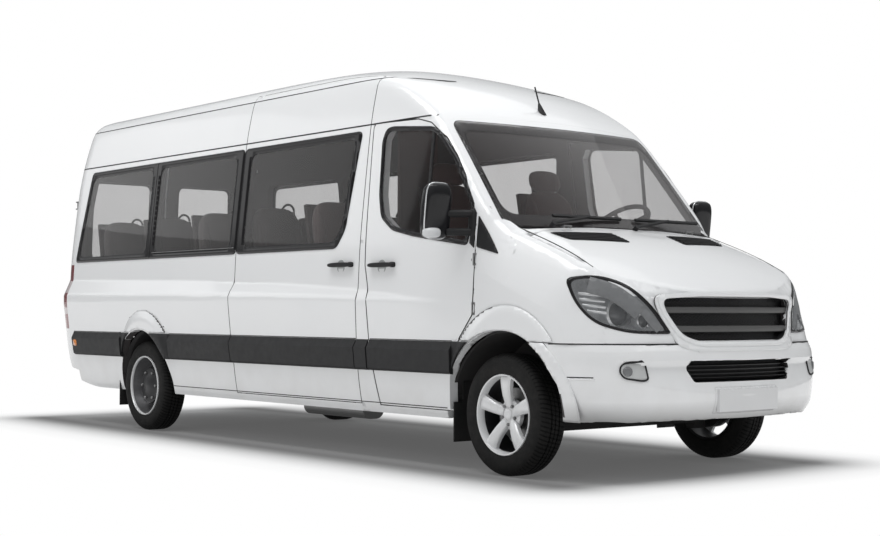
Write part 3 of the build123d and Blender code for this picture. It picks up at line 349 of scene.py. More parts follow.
def metal(name, color, roughness, strength=0.15, grain=180.0, shine=1.0):
    """Metal, or silver paint with less shine: a faint grain and small changes in its polish."""
    made = Finish(name, color, roughness, shine)
    streak = made.noise(grain, 3.0, 0.6)
    made.feed(Roughness=streak * 0.18 + (roughness - 0.09))
    made.feed(Base_Color=made.mixed(made.noise(14.0, 3.0), color, tuple(c * 0.86 for c in color)))
    return made.bump(streak, strength, 0.0004).material


def rubber(name, dark, light, roughness=0.8):
    """Black rubber with dust in its grain."""
    made = Finish(name)
    dust = made.noise(18.0, 5.0, 0.65).ramp(0.4, 0.75)
    made.feed(Base_Color=made.mixed(dust, dark, light))
    made.feed(Roughness=made.noise(60.0, 3.0) * 0.15 + (roughness - 0.08))
    return made.bump(made.noise(420.0, 3.0), 0.3, 0.0006).material


def seat_cloth():
    """Woven seat cloth: a small crossed weave over soft blotches, browner towards the front."""
    cloth = Finish("seat_cloth", Sheen_Weight=0.25, Sheen_Roughness=0.5)
    x, y, z = cloth.place()
    warp = (x * 1150.0).math("SINE") * (y * 1150.0 + z * 1150.0).math("SINE")
    tone = cloth.noise(16.0, 4.0)
    front = cloth.mixed(tone, (0.075, 0.035, 0.033), (0.125, 0.062, 0.056))
    rear = cloth.mixed(tone, (0.075, 0.066, 0.066), (0.13, 0.115, 0.112))
    color = cloth.mixed(x.ramp(-0.5, 1.2), rear, front)
    color = cloth.mixed(warp.ramp(-1.0, 1.0) * 0.3, color, (0.03, 0.022, 0.022))
    cloth.feed(Base_Color=color, Roughness=tone * 0.1 + 0.82)
    return cloth.bump(warp, 0.35, 0.0008).material


LENS_RIBS = 420.0                # radians to the metre


def lamp_glass(name, color, seen):
    """Coloured lens with fine ribs inside it."""
    glass = Finish(name, color, 0.05, Specular_IOR_Level=0.7, Coat_Weight=0.5)
    ribs = (glass.place()[2] * LENS_RIBS).math("SINE")
    glass.feed(Base_Color=glass.mixed(ribs.ramp(-1.0, 1.0) * 0.35, color, tuple(c * 0.5 for c in color)))
    facing = glass.node("ShaderNodeLayerWeight", None, {0: 0.3})[1]
    glass.feed(Alpha=(facing * (1.0 - seen) + seen).held())
    return glass.bump(ribs, 0.2, 0.001).material


def tail_lens():
    """Rear lamp: red, clear and red zones one above another, with fine ribs."""
    made = Finish("tail_lens", roughness=0.08, Coat_Weight=0.6)
    z = made.place()[2]
    clear = ((z > 1.085) * (z < 1.185) + (z > 0.905) * (z < 0.960)).held()
    ribs = (z * LENS_RIBS).math("SINE")
    made.feed(Base_Color=made.mixed(clear, (0.16, 0.002, 0.005), (0.50, 0.44, 0.44)))
    return made.bump(ribs, 0.2, 0.001).material


def mesh_black():
    """Black diamond mesh: crossing raised wires over dark holes."""
    made = Finish("grille_black", roughness=0.35)
    y, z = made.place()[1:]
    first = abs(((y * 0.6 + z) * 190.0).math("SINE"))
    second = abs(((y * 0.6 - z) * 190.0).math("SINE"))
    wire = (1.0 - first.math("MINIMUM", second) * 2.2).held()
    made.feed(Base_Color=made.mixed(wire, (0.002, 0.002, 0.002), (0.035, 0.035, 0.038)))
    return made.bump(wire, 0.9, 0.004).material


FRONT_AXLE = 2.4685
REAR_AXLE = -1.8565
HUB_HEIGHT = 0.348


def tyre_tread():
    """Tyre rubber: cross cuts on the shoulder, painted near black as shade in them, and fine rings on the
    sidewall.
    """
    made = Finish("tyre_tread", Specular_IOR_Level=0.2)
    x, y, z = made.place()
    middle = (x > 0.0) * (FRONT_AXLE - REAR_AXLE) + REAR_AXLE
    arm = x - middle
    rise = z - HUB_HEIGHT
    radius = (arm * arm + rise * rise) ** 0.5
    turn = rise.math("ARCTAN2", arm)
    cuts = (turn * 84.0 + y * 60.0).math("SINE").ramp(0.35, 0.6) * radius.ramp(0.322, 0.330)
    rings = (radius * 900.0).math("SINE").ramp(-0.2, 1.0) * (1.0 - radius.ramp(0.30, 0.31))
    dust = made.noise(18.0, 5.0, 0.65).ramp(0.4, 0.75)
    tone = made.mixed(dust, (0.010, 0.010, 0.010), (0.020, 0.019, 0.018))
    # painted shade: the cross cuts are coloured near black
    made.feed(Base_Color=made.mixed(cuts, tone, (0.002, 0.002, 0.002)))
    made.feed(Roughness=made.noise(60.0, 3.0) * 0.15 + 0.62)
    return made.bump(rings * 0.15 - cuts, 0.8, 0.005).material


def reflector():
    """Bright lamp bowl with fine vertical flutes, and a faint painted glow that stands in for light caught
    inside it.
    """
    made = Finish("lamp_reflector", (0.62, 0.63, 0.64), 0.22, 0.6)
    x, y = made.place()[:2]
    flutes = ((x - y) * 210.0).math("SINE")
    made.feed(Base_Color=made.mixed(made.noise(9.0, 3.0), (0.24, 0.245, 0.25), (0.52, 0.53, 0.54)))
    # painted light: a faint glow, though the lamp is not lit
    made.feed(Emission_Color=(0.8, 0.82, 0.84), Emission_Strength=0.08)
    return made.bump(flutes, 0.25, 0.002).material


PAINT = body_paint()
STRIP = moulded("strip_grey", (0.014, 0.014, 0.015), (0.022, 0.022, 0.023))
TRIM = moulded("black_plastic", (0.008, 0.008, 0.009), (0.016, 0.016, 0.017))
BAND = moulded("black_gloss", (0.006, 0.006, 0.007), (0.011, 0.010, 0.011), 900.0, 0.2, 0.05)
CABIN = moulded("cabin_plastic", (0.030, 0.024, 0.024), (0.050, 0.040, 0.040), 500.0, 0.65)
CARPET = moulded("cabin_floor", (0.035, 0.034, 0.034), (0.060, 0.058, 0.057), 260.0, 0.85, 0.7)
SIDE_GLASS = tinted_glass("side_window", (0.012, 0.010, 0.010), (0.018, 0.014, 0.014), 0.16, 0.22)
SCREEN_GLASS = tinted_glass("windscreen_glass", (0.020, 0.012, 0.012), (0.026, 0.016, 0.016), 0.20, 0.20)
CLEAR = tinted_glass("clear_lens", (0.30, 0.31, 0.32), (0.34, 0.35, 0.36), 0.05)
RED = lamp_glass("red_lens", (0.42, 0.006, 0.008), 0.9)
AMBER = lamp_glass("amber_lens", (0.85, 0.26, 0.02), 0.85)
TAIL = tail_lens()
ALLOY = metal("wheel_silver", (0.84, 0.845, 0.85), 0.30, grain=260.0, shine=0.15)
BARREL = metal("wheel_barrel", (0.17, 0.17, 0.175), 0.30, grain=120.0, shine=0.6)
STEEL = metal("worn_steel", (0.28, 0.28, 0.28), 0.45, grain=60.0)
CASTING = metal("dark_casting", (0.07, 0.07, 0.072), 0.55, grain=40.0, strength=0.4)
TYRE = rubber("tyre_rubber", (0.010, 0.010, 0.010), (0.022, 0.021, 0.020))
SEAL = rubber("seal_rubber", (0.006, 0.006, 0.006), (0.012, 0.012, 0.012), 0.7)
CLOTH = seat_cloth()
PLATE = moulded("plate_white", (0.66, 0.665, 0.67), (0.71, 0.715, 0.72), 300.0, 0.4, 0.1)
TREAD = tyre_tread()
MESH = mesh_black()
REFLECTOR = reflector()
SATIN = metal("satin_silver", (0.78, 0.79, 0.80), 0.22, shine=0.5)
GREY_LENS = moulded("smoked_lens", (0.12, 0.125, 0.13), (0.24, 0.245, 0.25), 30.0, 0.12, 0.05)
MILKY_FOG = moulded("frosted_lens", (0.42, 0.43, 0.43), (0.60, 0.61, 0.61), 40.0, 0.18, 0.1)
CLEAR_SOLID = moulded("turn_lens", (0.55, 0.56, 0.57), (0.72, 0.73, 0.74), 60.0, 0.12, 0.2)
SLAT_GREY = moulded("slat_grey", (0.085, 0.085, 0.085), (0.11, 0.11, 0.108), 400.0, 0.35, 0.1)
GLOSS_BLACK = moulded("mirror_black", (0.010, 0.010, 0.011), (0.018, 0.018, 0.020), 400.0, 0.14, 0.03)
DARK_WHEEL = metal("wheel_centre", (0.035, 0.035, 0.037), 0.4, grain=90.0, shine=0.5)
# painted shade: the handle recesses are mid grey in the white body
RECESS_SHADE = moulded("recess_shade_grey", (0.30, 0.31, 0.31), (0.38, 0.39, 0.39), 200.0, 0.4, 0.1)
UNDER = moulded("underbody_coat", (0.020, 0.020, 0.021), (0.038, 0.036, 0.035), 90.0, 0.8, 0.8)

NODE_FINISH = {                  # what each node of the model wears where no piece takes its place
    "antenna": TRIM, "bonnet": PAINT, "bumper_front": PAINT, "bumper_rear": PAINT, "cab_frame": PAINT,
    "dashboard": CABIN, "driveline": CASTING, "engine": CASTING, "exhaust": STEEL, "floor": CARPET,
    "front_axle": UNDER, "front_panel": PAINT, "fuel_tank": UNDER, "grille": TRIM, "headlamps": CLEAR,
    "hinges": STEEL, "mud_flaps": SEAL, "plate_front": PLATE, "rear_axle": UNDER, "roof": PAINT,
    "seat_frames": CABIN, "seat_pads": CLOTH, "side_glass": SIDE_GLASS, "sliding_door": PAINT,
    "steering_wheel": TRIM, "strips": STRIP, "tail_lamps": RED, "underframe": UNDER,
    "wheelhouses": UNDER, "windscreen": SCREEN_GLASS, "wipers": TRIM,
}
for side_name in ("left", "right"):
    NODE_FINISH.update({
        f"door_{side_name}": PAINT, f"rear_door_{side_name}": PAINT, f"side_{side_name}": PAINT,
        f"wing_{side_name}": PAINT, f"glass_door_{side_name}": SIDE_GLASS,
        f"glass_rear_door_{side_name}": SIDE_GLASS, f"knuckle_{side_name}": CASTING,
        f"mirror_{side_name}": TRIM, f"strip_door_{side_name}": STRIP,
        f"tyre_front_{side_name}": TYRE, f"tyre_rear_{side_name}": TYRE,
        f"wheel_front_{side_name}": ALLOY, f"wheel_rear_{side_name}": ALLOY,
    })
for node_name, material in NODE_FINISH.items():
    for slot in nodes[node_name].material_slots:
        slot.material = material

# ---------------------------------------------------------------- the body's outer surface as one field

BODIES = frame["record"]["behaviour"]["bodies"]
BODY_OF = {member: body for body, members in BODIES.items() for member in members}

LOWER_SECTION = ((0.200, 0.900), (0.300, 0.925), (0.352, 0.942), (0.563, 0.975), (0.757, 0.979),
                 (1.260, 0.979))
UPPER_SECTION = ((0.850, 0.983), (1.144, 0.971), (1.387, 0.960), (1.773, 0.919), (2.143, 0.879),
                 (2.349, 0.838), (2.430, 0.818), (2.510, 0.778), (2.700, 0.660))
BAND_TOP = ((-3.5, 1.200), (-0.468, 1.144), (1.075, 1.079), (1.990, 0.985), (2.6, 0.980))
BAND_BASE = ((-3.5, 1.065), (-0.468, 1.048), (1.075, 1.019), (1.990, 0.983), (2.6, 0.979))
SHOULDER_STEP = 0.048
CROWN = 2.660
CROWN_FALL = 0.150
CROWN_HALF = 0.762
ROOF_FRONT = ((-3.6, 3.10), (-0.8, 2.76), (0.3, 2.672), (0.7, 2.607), (1.1, 2.508), (1.45, 2.385),
              (1.731, 2.228), (1.872, 2.116), (2.515, 1.427), (2.8, 1.12))
REAR_FACE = ((0.2, -3.4465), (1.850, -3.4465), (2.150, -3.3985), (2.350, -3.3565), (2.470, -3.3345),
             (2.700, -3.260))
REAR_CORNER = 0.285
FLARES = {                       # lip centre x, z, radius, flare centre x, z, radius
    "front": (2.487, 0.292, 0.534, 2.526, 0.469, 0.501),
    "rear": (-1.837, 0.368, 0.422, -1.790, 0.501, 0.434),
}
FLARE_WIDTH = 0.070
FLARE_RISE = 0.026
BONNET_TOP = ((1.9, 1.60), (2.300, 1.502), (2.515, 1.430), (2.718, 1.362), (2.900, 1.290), (3.053, 1.215),
              (3.200, 1.130), (3.337, 1.045), (3.50, 0.94))
SHOULDERS = ((0.2, 0.990), (1.010, 0.990), (1.075, 0.978), (1.237, 0.932), (1.395, 0.842), (1.47, 0.790),
             (1.7, 0.62))
SHOULDER_FALL = 0.33
NOSE_HALF = 0.988
NOSE_FRONT = ((0.70, 3.438, 2.250), (1.50, 3.257, 1.500))     # height, reach forward, plan radius
NOSE_CORNER = 0.400              # plan corner of the plain nose
ROUND_CORNER = 0.330             # plan corner of the finished nose and bumper
NOSE_EDGE = 0.045
NOSE_CROWN = 0.034
BUMPER_BEND = 2.204              # plan radius of the bumper's front
TAIL_RISE = 0.10
SCOOP_TOP = 0.668
SCOOP_BASE = 0.490
SCOOP_DEPTH = 0.038
BUMPER_FACE = ((0.2, 3.250), (0.300, 3.370), (0.360, 3.432), (0.430, 3.4725), (0.700, 3.4700), (0.757, 3.431),
               (0.9, 3.38))
PLAIN_BUMPER = ((0.2, 3.40), (0.318, 3.4385), (0.40, 3.4725), (0.64, 3.4725), (0.757, 3.431), (0.9, 3.38))
PLAIN_SECTION = ((0.0, 0.925), (0.300, 0.925), (0.352, 0.942), (0.563, 0.975), (1.060, 0.979), (1.144, 0.971),
                 (1.387, 0.960), (1.773, 0.919), (2.143, 0.879), (2.349, 0.838), (2.430, 0.812),
                 (2.510, 0.762), (2.66, 0.66))
PLAIN_ROOF = ((0.0, 3.0), (0.299, 2.665), (0.3, 2.660), (0.7, 2.607), (1.1, 2.508), (1.45, 2.385),
              (1.731, 2.228), (1.872, 2.116), (2.515, 1.427), (2.56, 1.40), (2.8, 1.30))
PLAIN_REAR = ((0.0, -3.4465), (1.900, -3.4465), (2.150, -3.3985), (2.350, -3.3565), (2.470, -3.3345),
              (2.600, -3.2815), (2.66, -3.1665))


def eased(points, rounds=3):
    """A line of points with its corners cut at a quarter and three quarters of each run, again and again."""
    line = np.array(points, float)
    for _ in range(rounds):
        near = line[:-1] * 0.75 + line[1:] * 0.25
        far = line[:-1] * 0.25 + line[1:] * 0.75
        middle = np.stack([near, far], 1).reshape(-1, 2)
        line = np.vstack([line[:1], middle, line[-1:]])
    return line[:, 0], line[:, 1]


EASED = {
    "lower": eased(LOWER_SECTION, 2), "upper": eased(UPPER_SECTION, 3), "roof": eased(ROOF_FRONT, 3),
    "rear": eased(REAR_FACE, 3), "bonnet": eased(BONNET_TOP, 3), "shoulder": eased(SHOULDERS, 2),
    "band_top": eased(BAND_TOP, 2), "band_base": eased(BAND_BASE, 2), "bumper": eased(BUMPER_FACE, 2),
}
STRAIGHT = {
    "section": PLAIN_SECTION, "roof": PLAIN_ROOF, "rear": PLAIN_REAR, "shoulder": SHOULDERS,
    "bonnet": BONNET_TOP, "bumper": PLAIN_BUMPER,
}


def along(name, value):
    """Value of a named eased line at these places."""
    return np.interp(value, *EASED[name])


def straight(name, value):
    """Value of a named line without easing."""
    return np.interp(value, *np.array(STRAIGHT[name]).T)


def filleted(a, b, radius):
    """Where two sides meet: the larger distance, rounded to a circular fillet of the given radius."""
    u = np.maximum(a + radius, 0.0)
    v = np.maximum(b + radius, 0.0)
    return np.minimum(np.maximum(a, b) + radius, 0.0) + np.hypot(u, v) - radius


def half_width(x, z):
    """Half width of the body side: upper curve above the shoulder band, lower curve below it, a straight
    slope between the two, and a swelling inside each flare circle that grows towards the wheel. The lower
    curve stands out further towards the rear."""
    top = along("band_top", x)
    base = along("band_base", x)
    share = np.clip((z - base) / np.maximum(top - base, 0.002), 0.0, 1.0)
    below = np.minimum(z, base)
    step = SHOULDER_STEP * np.clip((2.0 - x) / 2.6, 0.0, 1.0) * np.clip((below - 0.55) / 0.45, 0.0, 1.0)
    low = along("lower", below) + step
    high = along("upper", np.maximum(z, top))
    half = np.where(z >= top, high, np.where(z <= base, low, low * (1 - share) + high * share))
    for flare in FLARES.values():
        flare_x, flare_z, flare_radius = flare[3:]
        inward = np.clip((flare_radius - np.hypot(x - flare_x, z - flare_z)) / FLARE_WIDTH, 0.0, 1.0)
        half = half + FLARE_RISE * inward * np.clip((z - 0.38) / 0.25, 0.0, 1.0)
    return half


def body_field(p):
    """Distance outside the passenger body: sides, crowned roof, bowed front and leaning rear, all rounded.
    The foot of the windscreen pillar fades into the shoulder of the nose."""
    x, y, z = p[:, 0], np.abs(p[:, 1]), p[:, 2]
    half = half_width(x, z)
    foot = np.clip((x - 2.20) / 0.35, 0.0, 1.0)
    foot = foot * foot * (3.0 - 2.0 * foot) * np.clip((1.60 - z) / 0.14, 0.0, 1.0)
    half = half - foot * np.maximum(half - along("shoulder", z + SHOULDER_FALL * (x - 2.5)), 0.0)
    side = y - half
    top = z - (CROWN - CROWN_FALL * (y / CROWN_HALF) ** 2)
    bow = (y / 0.81) ** 2
    sweep = 0.046 + 0.05 * np.clip((x - 1.87) / 0.6, 0.0, 1.0)
    front = (z + 0.0285 * bow - along("roof", x + sweep * bow)) * 0.72
    rear = along("rear", z) - x
    cap = filleted(top, front, 0.10)
    wall = filleted(side, rear, REAR_CORNER)
    return filleted(wall, cap, 0.05)


def body_plain(p):
    """Distance outside the model's plain body: the same sides with sharp edges and straight runs."""
    x, y, z = p[:, 0], np.abs(p[:, 1]), p[:, 2]
    side = y - straight("section", z)
    top = z - (CROWN - CROWN_FALL * (y / CROWN_HALF) ** 2)
    front = z - straight("roof", x)
    front = np.where(x > 1.84, front * 0.68, front)
    rear = straight("rear", z) - x
    plan = filleted(y - 0.999, -3.4465 - x, REAR_CORNER)
    return np.maximum(np.maximum(side, top), np.maximum(np.maximum(front, rear), plan))


def nose_sides(p, lines, corner, fall):
    """Distances outside the nose: plan arcs that narrow upwards, sloping shoulders and the bonnet line."""
    x, y, z = p[:, 0], np.abs(p[:, 1]), p[:, 2]
    (low, low_reach, low_bend), (high, high_reach, high_bend) = NOSE_FRONT
    share = np.clip((z - low) / (high - low), 0.0, 1.0)
    reach = low_reach * (1 - share) + high_reach * share
    bend = low_bend * (1 - share) + high_bend * share
    front = x - (reach - bend + np.sqrt(np.maximum(bend ** 2 - y ** 2, 0.01)))
    plan = filleted(y - NOSE_HALF, front, corner)
    shoulder = (y - lines("shoulder", z + SHOULDER_FALL * (x - 2.5))) * 0.9
    top = (z - lines("bonnet", x) + fall * (y / 0.8) ** 2) * 0.93
    return plan, shoulder, top, x, y, z


def nose_field(p):
    """Distance outside the finished nose, its edges rounded."""
    plan, shoulder, top, x, y, z = nose_sides(p, along, ROUND_CORNER, NOSE_CROWN)
    side = np.maximum(y - half_width(x, z), shoulder)
    return filleted(filleted(plan, side, 0.02), top, NOSE_EDGE)


def nose_plain(p):
    """Distance outside the model's plain nose."""
    plan, shoulder, top, x, y, z = nose_sides(p, straight, NOSE_CORNER, 0.0)
    side = y - straight("section", z)
    grille = x - np.interp(z, (0.757, 1.017), (3.425, 3.372))
    return np.maximum(np.maximum(plan, np.maximum(shoulder, side)), np.maximum(top, grille))


def bumper_sides(p, line):
    """Distance outside the bumper's front, whose plan arc follows its face line, and the places."""
    x, y, z = p[:, 0], np.abs(p[:, 1]), p[:, 2]
    arc = np.sqrt(np.maximum(BUMPER_BEND ** 2 - y ** 2, 0.01))
    return x - (line("bumper", z) - BUMPER_BEND + arc), x, y, z


def bumper_field(p):
    """Distance outside the finished front bumper: a scoop runs under its ledge from lamp to lamp."""
    front, x, y, z = bumper_sides(p, along)
    base = SCOOP_BASE + 0.085 * np.clip(y / 0.8, 0.0, 1.0) ** 2.5
    under = np.clip((SCOOP_TOP - z) / 0.012, 0.0, 1.0)
    hollow = under * np.clip((z - base) / (SCOOP_TOP - base), 0.0, 1.0) ** 0.7
    front = front + SCOOP_DEPTH * hollow * np.clip((0.84 - y) / 0.15, 0.0, 1.0)
    return filleted(y - half_width(x, z), front, ROUND_CORNER)


def bumper_plain(p):
    """Distance outside the model's plain bumper."""
    front, _, y, z = bumper_sides(p, straight)
    side = y - straight("section", z)
    return np.maximum(side, filleted(y - NOSE_HALF, front, NOSE_CORNER))


def cab_field(p):
    """Distance outside the cab: the nearer of the body and the nose."""
    return np.minimum(body_field(p), nose_field(p))


def cab_plain(p):
    """The same for the model's plain cab."""
    return np.minimum(body_plain(p), nose_plain(p))


FIELD_STEP = 0.0005


def gradient(field, p):
    """Slope of a field by central differences, one axis at a time."""
    out = np.empty_like(p)
    for axis in range(3):
        shift = np.zeros(3)
        shift[axis] = FIELD_STEP
        out[:, axis] = (field(p + shift) - field(p - shift)) / (2 * FIELD_STEP)
    return out


def settled(field, p, level):
    """Points moved along the field's slope until they lie on the wanted level."""
    p = p.copy()
    for _ in range(6):
        slope = gradient(field, p)
        size = np.maximum((slope ** 2).sum(1), 0.05)
        p -= slope * ((field(p) - level) / size)[:, None]
    return p


def finished_piece(name, mesh, node_names, body, material, smooth):
    """Puts a mesh in the scene, smooth but for its sharp edges, riding on its body in place of its nodes."""
    piece = bpy.data.objects.new(name, mesh)
    bpy.context.scene.collection.objects.link(piece)
    mesh.materials.append(material)
    mesh.shade_smooth()
    mesh.set_sharp_from_angle(angle=math.radians(smooth))
    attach(piece, body)
    if node_names:
        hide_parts(*node_names)
    return piece


def skin(name, node, field, plain, pitches, material=PAINT, smooth=32.0, outer_only=False):
    """A body panel: the node's mesh is merged, cut along even planes, and every point moves along the
    finished field to the level that it had in the plain one, so faces, edges and inner walls all follow.
    Points deep inside the body stay where they are, and the low rear end rises a little."""
    work = bmesh.new()
    work.from_mesh(nodes[node].data)
    bmesh.ops.remove_doubles(work, verts=work.verts, dist=0.00002)
    low, high = (np.array(c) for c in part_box(node))
    for axis, pitch in enumerate(pitches):
        if not pitch:
            continue
        normal = Vector([1.0 if i == axis else 0.0 for i in range(3)])
        for place in np.arange(math.ceil(low[axis] / pitch) * pitch, high[axis], pitch) + 0.00037:
            geometry = work.verts[:] + work.edges[:] + work.faces[:]
            bmesh.ops.bisect_plane(work, geom=geometry, plane_co=normal * float(place), plane_no=normal,
                                   dist=0.00005)
    work.verts.index_update()
    points = np.array([v.co for v in work.verts])
    level = np.minimum(plain(points), 0.0)
    share = np.clip((level + 0.2) / 0.1, 0.0, 1.0)[:, None]
    moved = points * (1 - share) + settled(field, points, level) * share
    rise = TAIL_RISE * np.clip((-2.70 - moved[:, 0]) / 0.65, 0.0, 1.0) ** 1.5
    moved[:, 2] += rise * np.clip((0.56 - moved[:, 2]) / 0.22, 0.0, 1.0)
    if outer_only:
        deep = [v for v, depth in zip(work.verts[:], level) if depth < -0.004]
    for v, place in zip(work.verts, moved):
        v.co = place
    if outer_only:
        bmesh.ops.delete(work, geom=deep, context="VERTS")
    bmesh.ops.remove_doubles(work, verts=work.verts, dist=0.0002)
    bmesh.ops.dissolve_degenerate(work, edges=work.edges, dist=0.0002)
    mesh = bpy.data.meshes.new(name)
    work.to_mesh(mesh)
    work.free()
    return finished_piece(name, mesh, [node], BODY_OF[node], material, smooth)


WALL_PITCH = (0.04, 0.04, 0.014)
DOOR_PITCH = (0.04, 0.0, 0.014)
LEAF_PITCH = (0.0, 0.04, 0.04)
NOSE_PITCH = (0.03, 0.03, 0.03)
FLAT_SMOOTH = 14.0               # sides: even the slight steps of the shoulder band stay crisp
for side_name, _ in SIDES:
    skin(f"side_wall_{side_name}", f"side_{side_name}", body_field, body_plain, WALL_PITCH,
         smooth=FLAT_SMOOTH)
    skin(f"front_door_{side_name}", f"door_{side_name}", body_field, body_plain, DOOR_PITCH,
         smooth=FLAT_SMOOTH)
    skin(f"rear_leaf_{side_name}", f"rear_door_{side_name}", body_field, body_plain, LEAF_PITCH)
    skin(f"front_wing_{side_name}", f"wing_{side_name}", nose_field, nose_plain, NOSE_PITCH)
skin("sliding_leaf", "sliding_door", body_field, body_plain, DOOR_PITCH, smooth=FLAT_SMOOTH)
skin("roof_cap", "roof", body_field, body_plain, (0.05, 0.04, 0.03))
skin("bonnet_panel", "bonnet", nose_field, nose_plain, NOSE_PITCH)
skin("nose_panel", "front_panel", nose_field, nose_plain, NOSE_PITCH)
skin("bumper_skin", "bumper_front", bumper_field, bumper_plain, (0.04, 0.04, 0.012))
skin("bumper_rear_skin", "bumper_rear", body_field, body_plain, (0.05, 0.05, 0.05))
skin("cab_shell", "cab_frame", cab_field, cab_plain, (0.04, 0.04, 0.04))

# ---------------------------------------------------------------- sheets, sweeps and turned shapes

def rounded(points, radius, steps=6):
    """Closed outline whose corners are cut back by the radius and joined by parabolas."""
    points = np.array(points, float)
    before = points - np.roll(points, 1, 0)
    after = np.roll(points, -1, 0) - points
    long_before = np.linalg.norm(before, axis=1, keepdims=True)
    long_after = np.linalg.norm(after, axis=1, keepdims=True)
    reach = np.minimum(np.reshape(radius, (-1, 1)), 0.48 * np.minimum(long_before, long_after))
    start = points - before / long_before * reach
    end = points + after / long_after * reach
    t = np.linspace(0.0, 1.0, steps + 1)[None, :, None]
    curve = start[:, None] * (1 - t) ** 2 + points[:, None] * 2 * t * (1 - t) + end[:, None] * t ** 2
    return curve.reshape(-1, 2)


def outset(points, distance):
    """Closed outline with every side moved outwards, whichever way it runs round."""
    points = np.array(points, float)
    ahead = np.roll(points, -1, 0)
    turn = np.sign((points[:, 0] * ahead[:, 1] - ahead[:, 0] * points[:, 1]).sum())
    run = (ahead - points) / np.linalg.norm(ahead - points, axis=1, keepdims=True)
    normal = np.stack([run[:, 1], -run[:, 0]], 1) * turn
    before = np.roll(normal, 1, 0)
    return points + (normal + before) * distance / (1 + (normal * before).sum(1))[:, None]


def dense(points, pitch, closed=True):
    """Line of points with every run divided into parts no longer than the pitch."""
    points = np.array(points, float)
    ends = np.roll(points, -1, 0) if closed else points[1:]
    runs = [np.linspace(a, b, max(1, math.ceil(np.linalg.norm(b - a) / pitch)), endpoint=False)
            for a, b in zip(points, ends)]
    return np.vstack(runs + ([] if closed else [points[-1:]]))


def ribbon(points, width, pitch=0.03):
    """Closed outline of a band of even width along a line of points."""
    line = dense(points, pitch, closed=False)
    run = np.gradient(line, axis=0)
    run /= np.linalg.norm(run, axis=1, keepdims=True)
    across = np.stack([-run[:, 1], run[:, 0]], 1) * width / 2
    return np.vstack([line + across, (line - across)[::-1]])


def circle(x, y, radius, steps=40):
    """Round outline."""
    turn = np.linspace(0.0, 2 * np.pi, steps, endpoint=False)
    return np.stack([x + radius * np.cos(turn), y + radius * np.sin(turn)], 1)


def inside(points, outline):
    """Which points lie inside an outline, by counting its crossings."""
    x, y = points[:, :1], points[:, 1:]
    x0, y0 = outline.T
    x1, y1 = np.roll(outline, -1, 0).T
    crossed = ((y0 > y) != (y1 > y)) & (x < (x1 - x0) * (y - y0) / (y1 - y0 + 1e-12) + x0)
    return crossed.sum(1) % 2 == 1


def filled(outline, holes=(), pitch=0.04):
    """Flat points and triangles that fill an outline except its holes, with a grid of points between."""
    loops = [dense(outline, pitch)] + [dense(hole, pitch) for hole in holes]
    low, high = loops[0].min(0), loops[0].max(0)
    spots = [np.arange(a + pitch / 2, b, pitch) for a, b in zip(low, high)]
    grid = np.stack(np.meshgrid(*spots), -1).reshape(-1, 2)
    keep = inside(grid, loops[0])
    for hole in loops[1:]:
        keep &= ~inside(grid, hole)
    points = np.vstack(loops + [grid[keep]])
    edges, first = [], 0
    for loop in loops:
        numbers = np.arange(len(loop))
        edges += (np.stack([numbers, (numbers + 1) % len(loop)], 1) + first).tolist()
        first += len(loop)
    flat, _, faces = delaunay_2d_cdt([Vector(p) for p in points], edges, [], 0, 1e-7, False)[:3]
    flat, faces = np.array(flat), np.array(faces)
    middle = flat[faces].mean(1)
    keep = inside(middle, loops[0])
    for hole in loops[1:]:
        keep &= ~inside(middle, hole)
    return flat, faces[keep]


def laid(field, points, direction, level):
    """Points moved along one direction until they lie on the wanted level of the field."""
    p = points.copy()
    step = np.array(direction, float) * FIELD_STEP
    for _ in range(9):
        slope = (field(p + step) - field(p - step)) / (2 * FIELD_STEP)
        slope = np.where(np.abs(slope) < 0.2, 0.2 * np.where(slope < 0, -1.0, 1.0), slope)
        p -= np.clip((field(p) - level) / slope, -0.2, 0.2)[:, None] * np.array(direction)
    return p


def facing(field, axis, start, level=0.0):
    """Takes flat points to a level of a field, along an axis and from a start value on it; away is the way
    that the surface looks."""
    direction = np.eye(3)[axis]

    def place(flat):
        return laid(field, np.insert(np.array(flat, float), axis, start, axis=1), direction, level)
    place.away = direction * math.copysign(1.0, start)
    return place


def built(name, parts, material, body, replaced=(), smooth=35.0, thick=0.0, away=None):
    """Joins (points, faces) parts in one piece; away is a direction that its faces are turned to."""
    points, faces, first = [], [], 0
    for part_points, part_faces in parts:
        points.append(part_points)
        faces += [[i + first for i in face] for face in np.array(part_faces, dtype=object).tolist()]
        first += len(part_points)
    mesh = bpy.data.meshes.new(name)
    mesh.from_pydata(np.vstack(points).tolist(), [], faces)
    if away is None:
        work = bmesh.new()
        work.from_mesh(mesh)
        bmesh.ops.remove_doubles(work, verts=work.verts, dist=0.00001)
        bmesh.ops.recalc_face_normals(work, faces=work.faces)
        work.to_mesh(mesh)
        work.free()
    else:
        normals = np.zeros(len(mesh.polygons) * 3)
        mesh.polygons.foreach_get("normal", normals)
        areas = np.zeros(len(mesh.polygons))
        mesh.polygons.foreach_get("area", areas)
        if ((normals.reshape(-1, 3) * areas[:, None]).sum(0) * away).sum() < 0:
            mesh.flip_normals()
    piece = finished_piece(name, mesh, list(replaced), body, material, smooth)
    if thick:
        wall = piece.modifiers.new("wall", "SOLIDIFY")
        wall.thickness = thick
        wall.offset = -1.0
    return piece


def sheet(name, outline, holes, place, material, body, thick=0.004, pitch=0.04, replaced=()):
    """A thin piece cut to an outline and laid on a surface, its finished face outwards."""
    flat, faces = filled(outline, holes, pitch)
    return built(name, [(place(flat), faces)], material, body, replaced, 35.0, thick, place.away)


